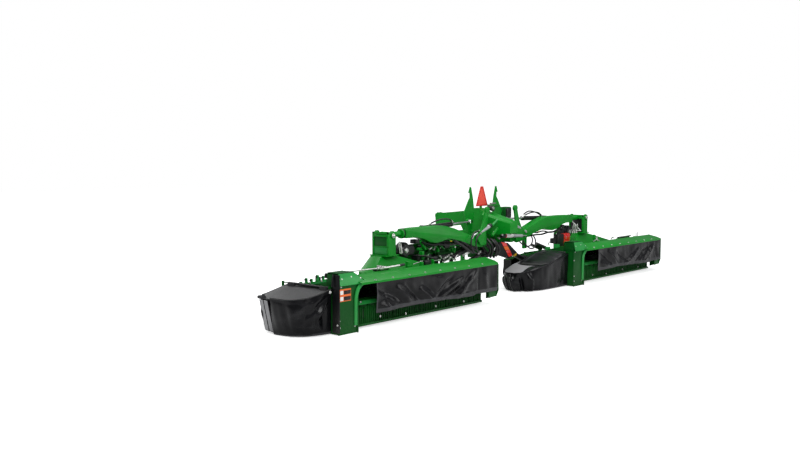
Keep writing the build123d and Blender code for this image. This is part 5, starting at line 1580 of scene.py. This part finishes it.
# %% [markdown]
# ## Lamp boards
# Two boards mark the machine on the road. The left one is a black board set at a slant, with a red and
# orange stripe. The right one is a black box with red and orange lamps. Both stay blank.

# %% Make the lamp boards
BOARD_Y = LIP + 0.80
BOARD_OUTLINE = ((0.188, 0.877), (0.452, 0.835), (0.742, 0.647), (0.473, 0.549), (0.081, 0.651))
STRIPE = [("lamp_red", (0.215, 0.868), (0.360, 0.848), (0.415, 0.788), (0.280, 0.791)),
          ("decal_orange", (0.288, 0.786), (0.420, 0.782), (0.480, 0.716), (0.345, 0.716)),
          ("lamp_red", (0.352, 0.710), (0.485, 0.710), (0.530, 0.656), (0.400, 0.656)),
          ("lamp_red", (0.405, 0.650), (0.534, 0.650), (0.565, 0.606), (0.460, 0.586))]
RIGHT_LAMP = {
    "guard_plastic box": [
        (1.880, 0.80, 0.885, 2.120, 0.90, 0.610, 0.012), (1.95, 0.84, 0.640, 2.02, 0.90, 0.560, 0.008),
        (2.24, 0.84, 0.640, 2.31, 0.90, 0.560, 0.008)],
    "border_red box": [(2.110, 0.81, 0.885, 2.360, 0.89, 0.610, 0.010)],
    "lamp_red box": [
        (2.125, 0.795, 0.870, 2.195, 0.812, 0.780, 0.010), (2.220, 0.795, 0.870, 2.345, 0.812, 0.760, 0.010),
        (2.265, 0.795, 0.740, 2.345, 0.812, 0.620, 0.010)],
    "lamp_orange box": [(2.135, 0.795, 0.740, 2.245, 0.812, 0.640, 0.012)],
    "plain_white box": [(2.205, 0.803, 0.85, 2.212, 0.814, 0.78, 0.001)],
}
board = shape_plate([(x, BOARD_Y, z) for x, z in BOARD_OUTLINE], (0, 0.025, 0), bevel=0.006)
settle([board], "left_lamp_board", "carrier", "guard_plastic")
for number, (finish, *outline) in enumerate(STRIPE):
    plate = shape_plate([(x, BOARD_Y - 0.001, z) for x, z in outline], (0, -0.008, 0), bevel=0.002)
    settle([plate], f"left_lamp_stripe_{number + 1}", "carrier", finish)
settle_groups(from_tables(partial(wing, "right"), RIGHT_LAMP), "right_lamp", "right_unit")
label = shape_rod(wing("right", 0.60, 1.0, 0.613), wing("right", 0.68, 1.0, 0.582), 0.047, sides=24)
settle([label], "shaft_label", "carrier", "plain_yellow")
print("lamp boards made")

# %% [markdown]
# ## Hydraulic hoses
# Hoses feed the fold and steering cylinders. Each one is a cord with a known length: it leaves a fitting,
# hangs in a loop and goes back into the machine. Both ends of a hose ride on one body, so that nothing
# pulls when a wing folds. The lines are NURBS curves through a few points, ahead of the lip and up.

# %% Route the hoses
HOSE_R, FERRULE_R, NUT_R = 0.0125, 0.016, 0.021
FOLD_ROUTE = [(1.10, 1.09, 1.262), (1.20, 1.05, 1.315), (1.40, 1.04, 1.335), (1.62, 1.05, 1.310),
              (1.74, 1.09, 1.250)]
HOSES = {
    "right_loop_outer": ("knuckle", [
        (0.66, 0.92, 0.98), (0.74, 0.88, 0.86), (0.88, 0.86, 0.72), (1.06, 0.86, 0.65), (1.20, 0.87, 0.72),
        (1.20, 0.88, 0.86), (1.06, 0.90, 0.96), (0.92, 0.93, 0.98)]),
    "right_loop_inner": ("knuckle", [
        (0.62, 0.96, 0.97), (0.70, 0.93, 0.83), (0.86, 0.91, 0.735), (1.03, 0.91, 0.70), (1.17, 0.92, 0.77),
        (1.17, 0.93, 0.88), (1.06, 0.95, 0.96), (0.90, 0.97, 0.98)]),
    "right_fold_hose_a": ("fold_barrel", FOLD_ROUTE),
    "right_fold_hose_b": ("fold_barrel", [
        (1.12, 1.13, 1.268), (1.26, 1.12, 1.345), (1.44, 1.12, 1.350), (1.66, 1.12, 1.300),
        (1.78, 1.12, 1.245)]),
    "left_arm_hose_a": ("knuckle", [
        (0.62, 0.84, 1.05), (0.74, 0.78, 1.06), (0.86, 0.76, 0.98), (0.86, 0.77, 0.84), (0.76, 0.79, 0.74),
        (0.64, 0.84, 0.74)]),
    "left_arm_hose_b": ("knuckle", [
        (0.60, 0.87, 1.08), (0.78, 0.82, 1.12), (0.94, 0.80, 1.02), (0.95, 0.81, 0.86), (0.82, 0.82, 0.72),
        (0.64, 0.87, 0.71)]),
    "left_fold_hose": ("fold_barrel", FOLD_ROUTE),
}


def curve_length(piece):
    """Length of a curve along its evaluated line."""
    line = bpy.data.meshes.new_from_object(piece.evaluated_get(bpy.context.evaluated_depsgraph_get()))
    points = [v.co.copy() for v in line.vertices]
    return sum((b - a).length for a, b in zip(points, points[1:]))


for name, (part, rows) in HOSES.items():
    side = name.split("_")[0]
    body = f"{side}_{part}"
    route = [wing(side, *row) for row in rows]
    data = nurbs_line(name, route, resolution=10)
    hose = bpy.data.objects.new(name, data)
    bpy.context.scene.collection.objects.link(hose)
    length = round(curve_length(hose), 2)
    data.bevel_depth = HOSE_R
    data.bevel_resolution = 3
    data.use_fill_caps = True
    data.materials.append(FINISHES["rubber"])
    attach(hose, body)
    ends = []
    for start, inward in ((route[0], route[1]), (route[-1], route[-2])):
        way = (inward - start).normalized()
        ends += [shape_rod(start - way * 0.02, start + way * 0.045, FERRULE_R, sides=16),
                 shape_rod(start - way * 0.025, start - way * 0.002, NUT_R, sides=6)]
    settle(ends, f"{name}_fittings", body, "zinc")
    print(name, "length", length)

# %% [markdown]
# ## Measure and finish
# The dressed machine has to keep the size of its frame, so both boxes are printed: the frame's at the start
# and the dressed one here.

# %% Write the sizes and finish
low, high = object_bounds()
print("visual box", [round(v, 3) for v in low], [round(v, 3) for v in high])
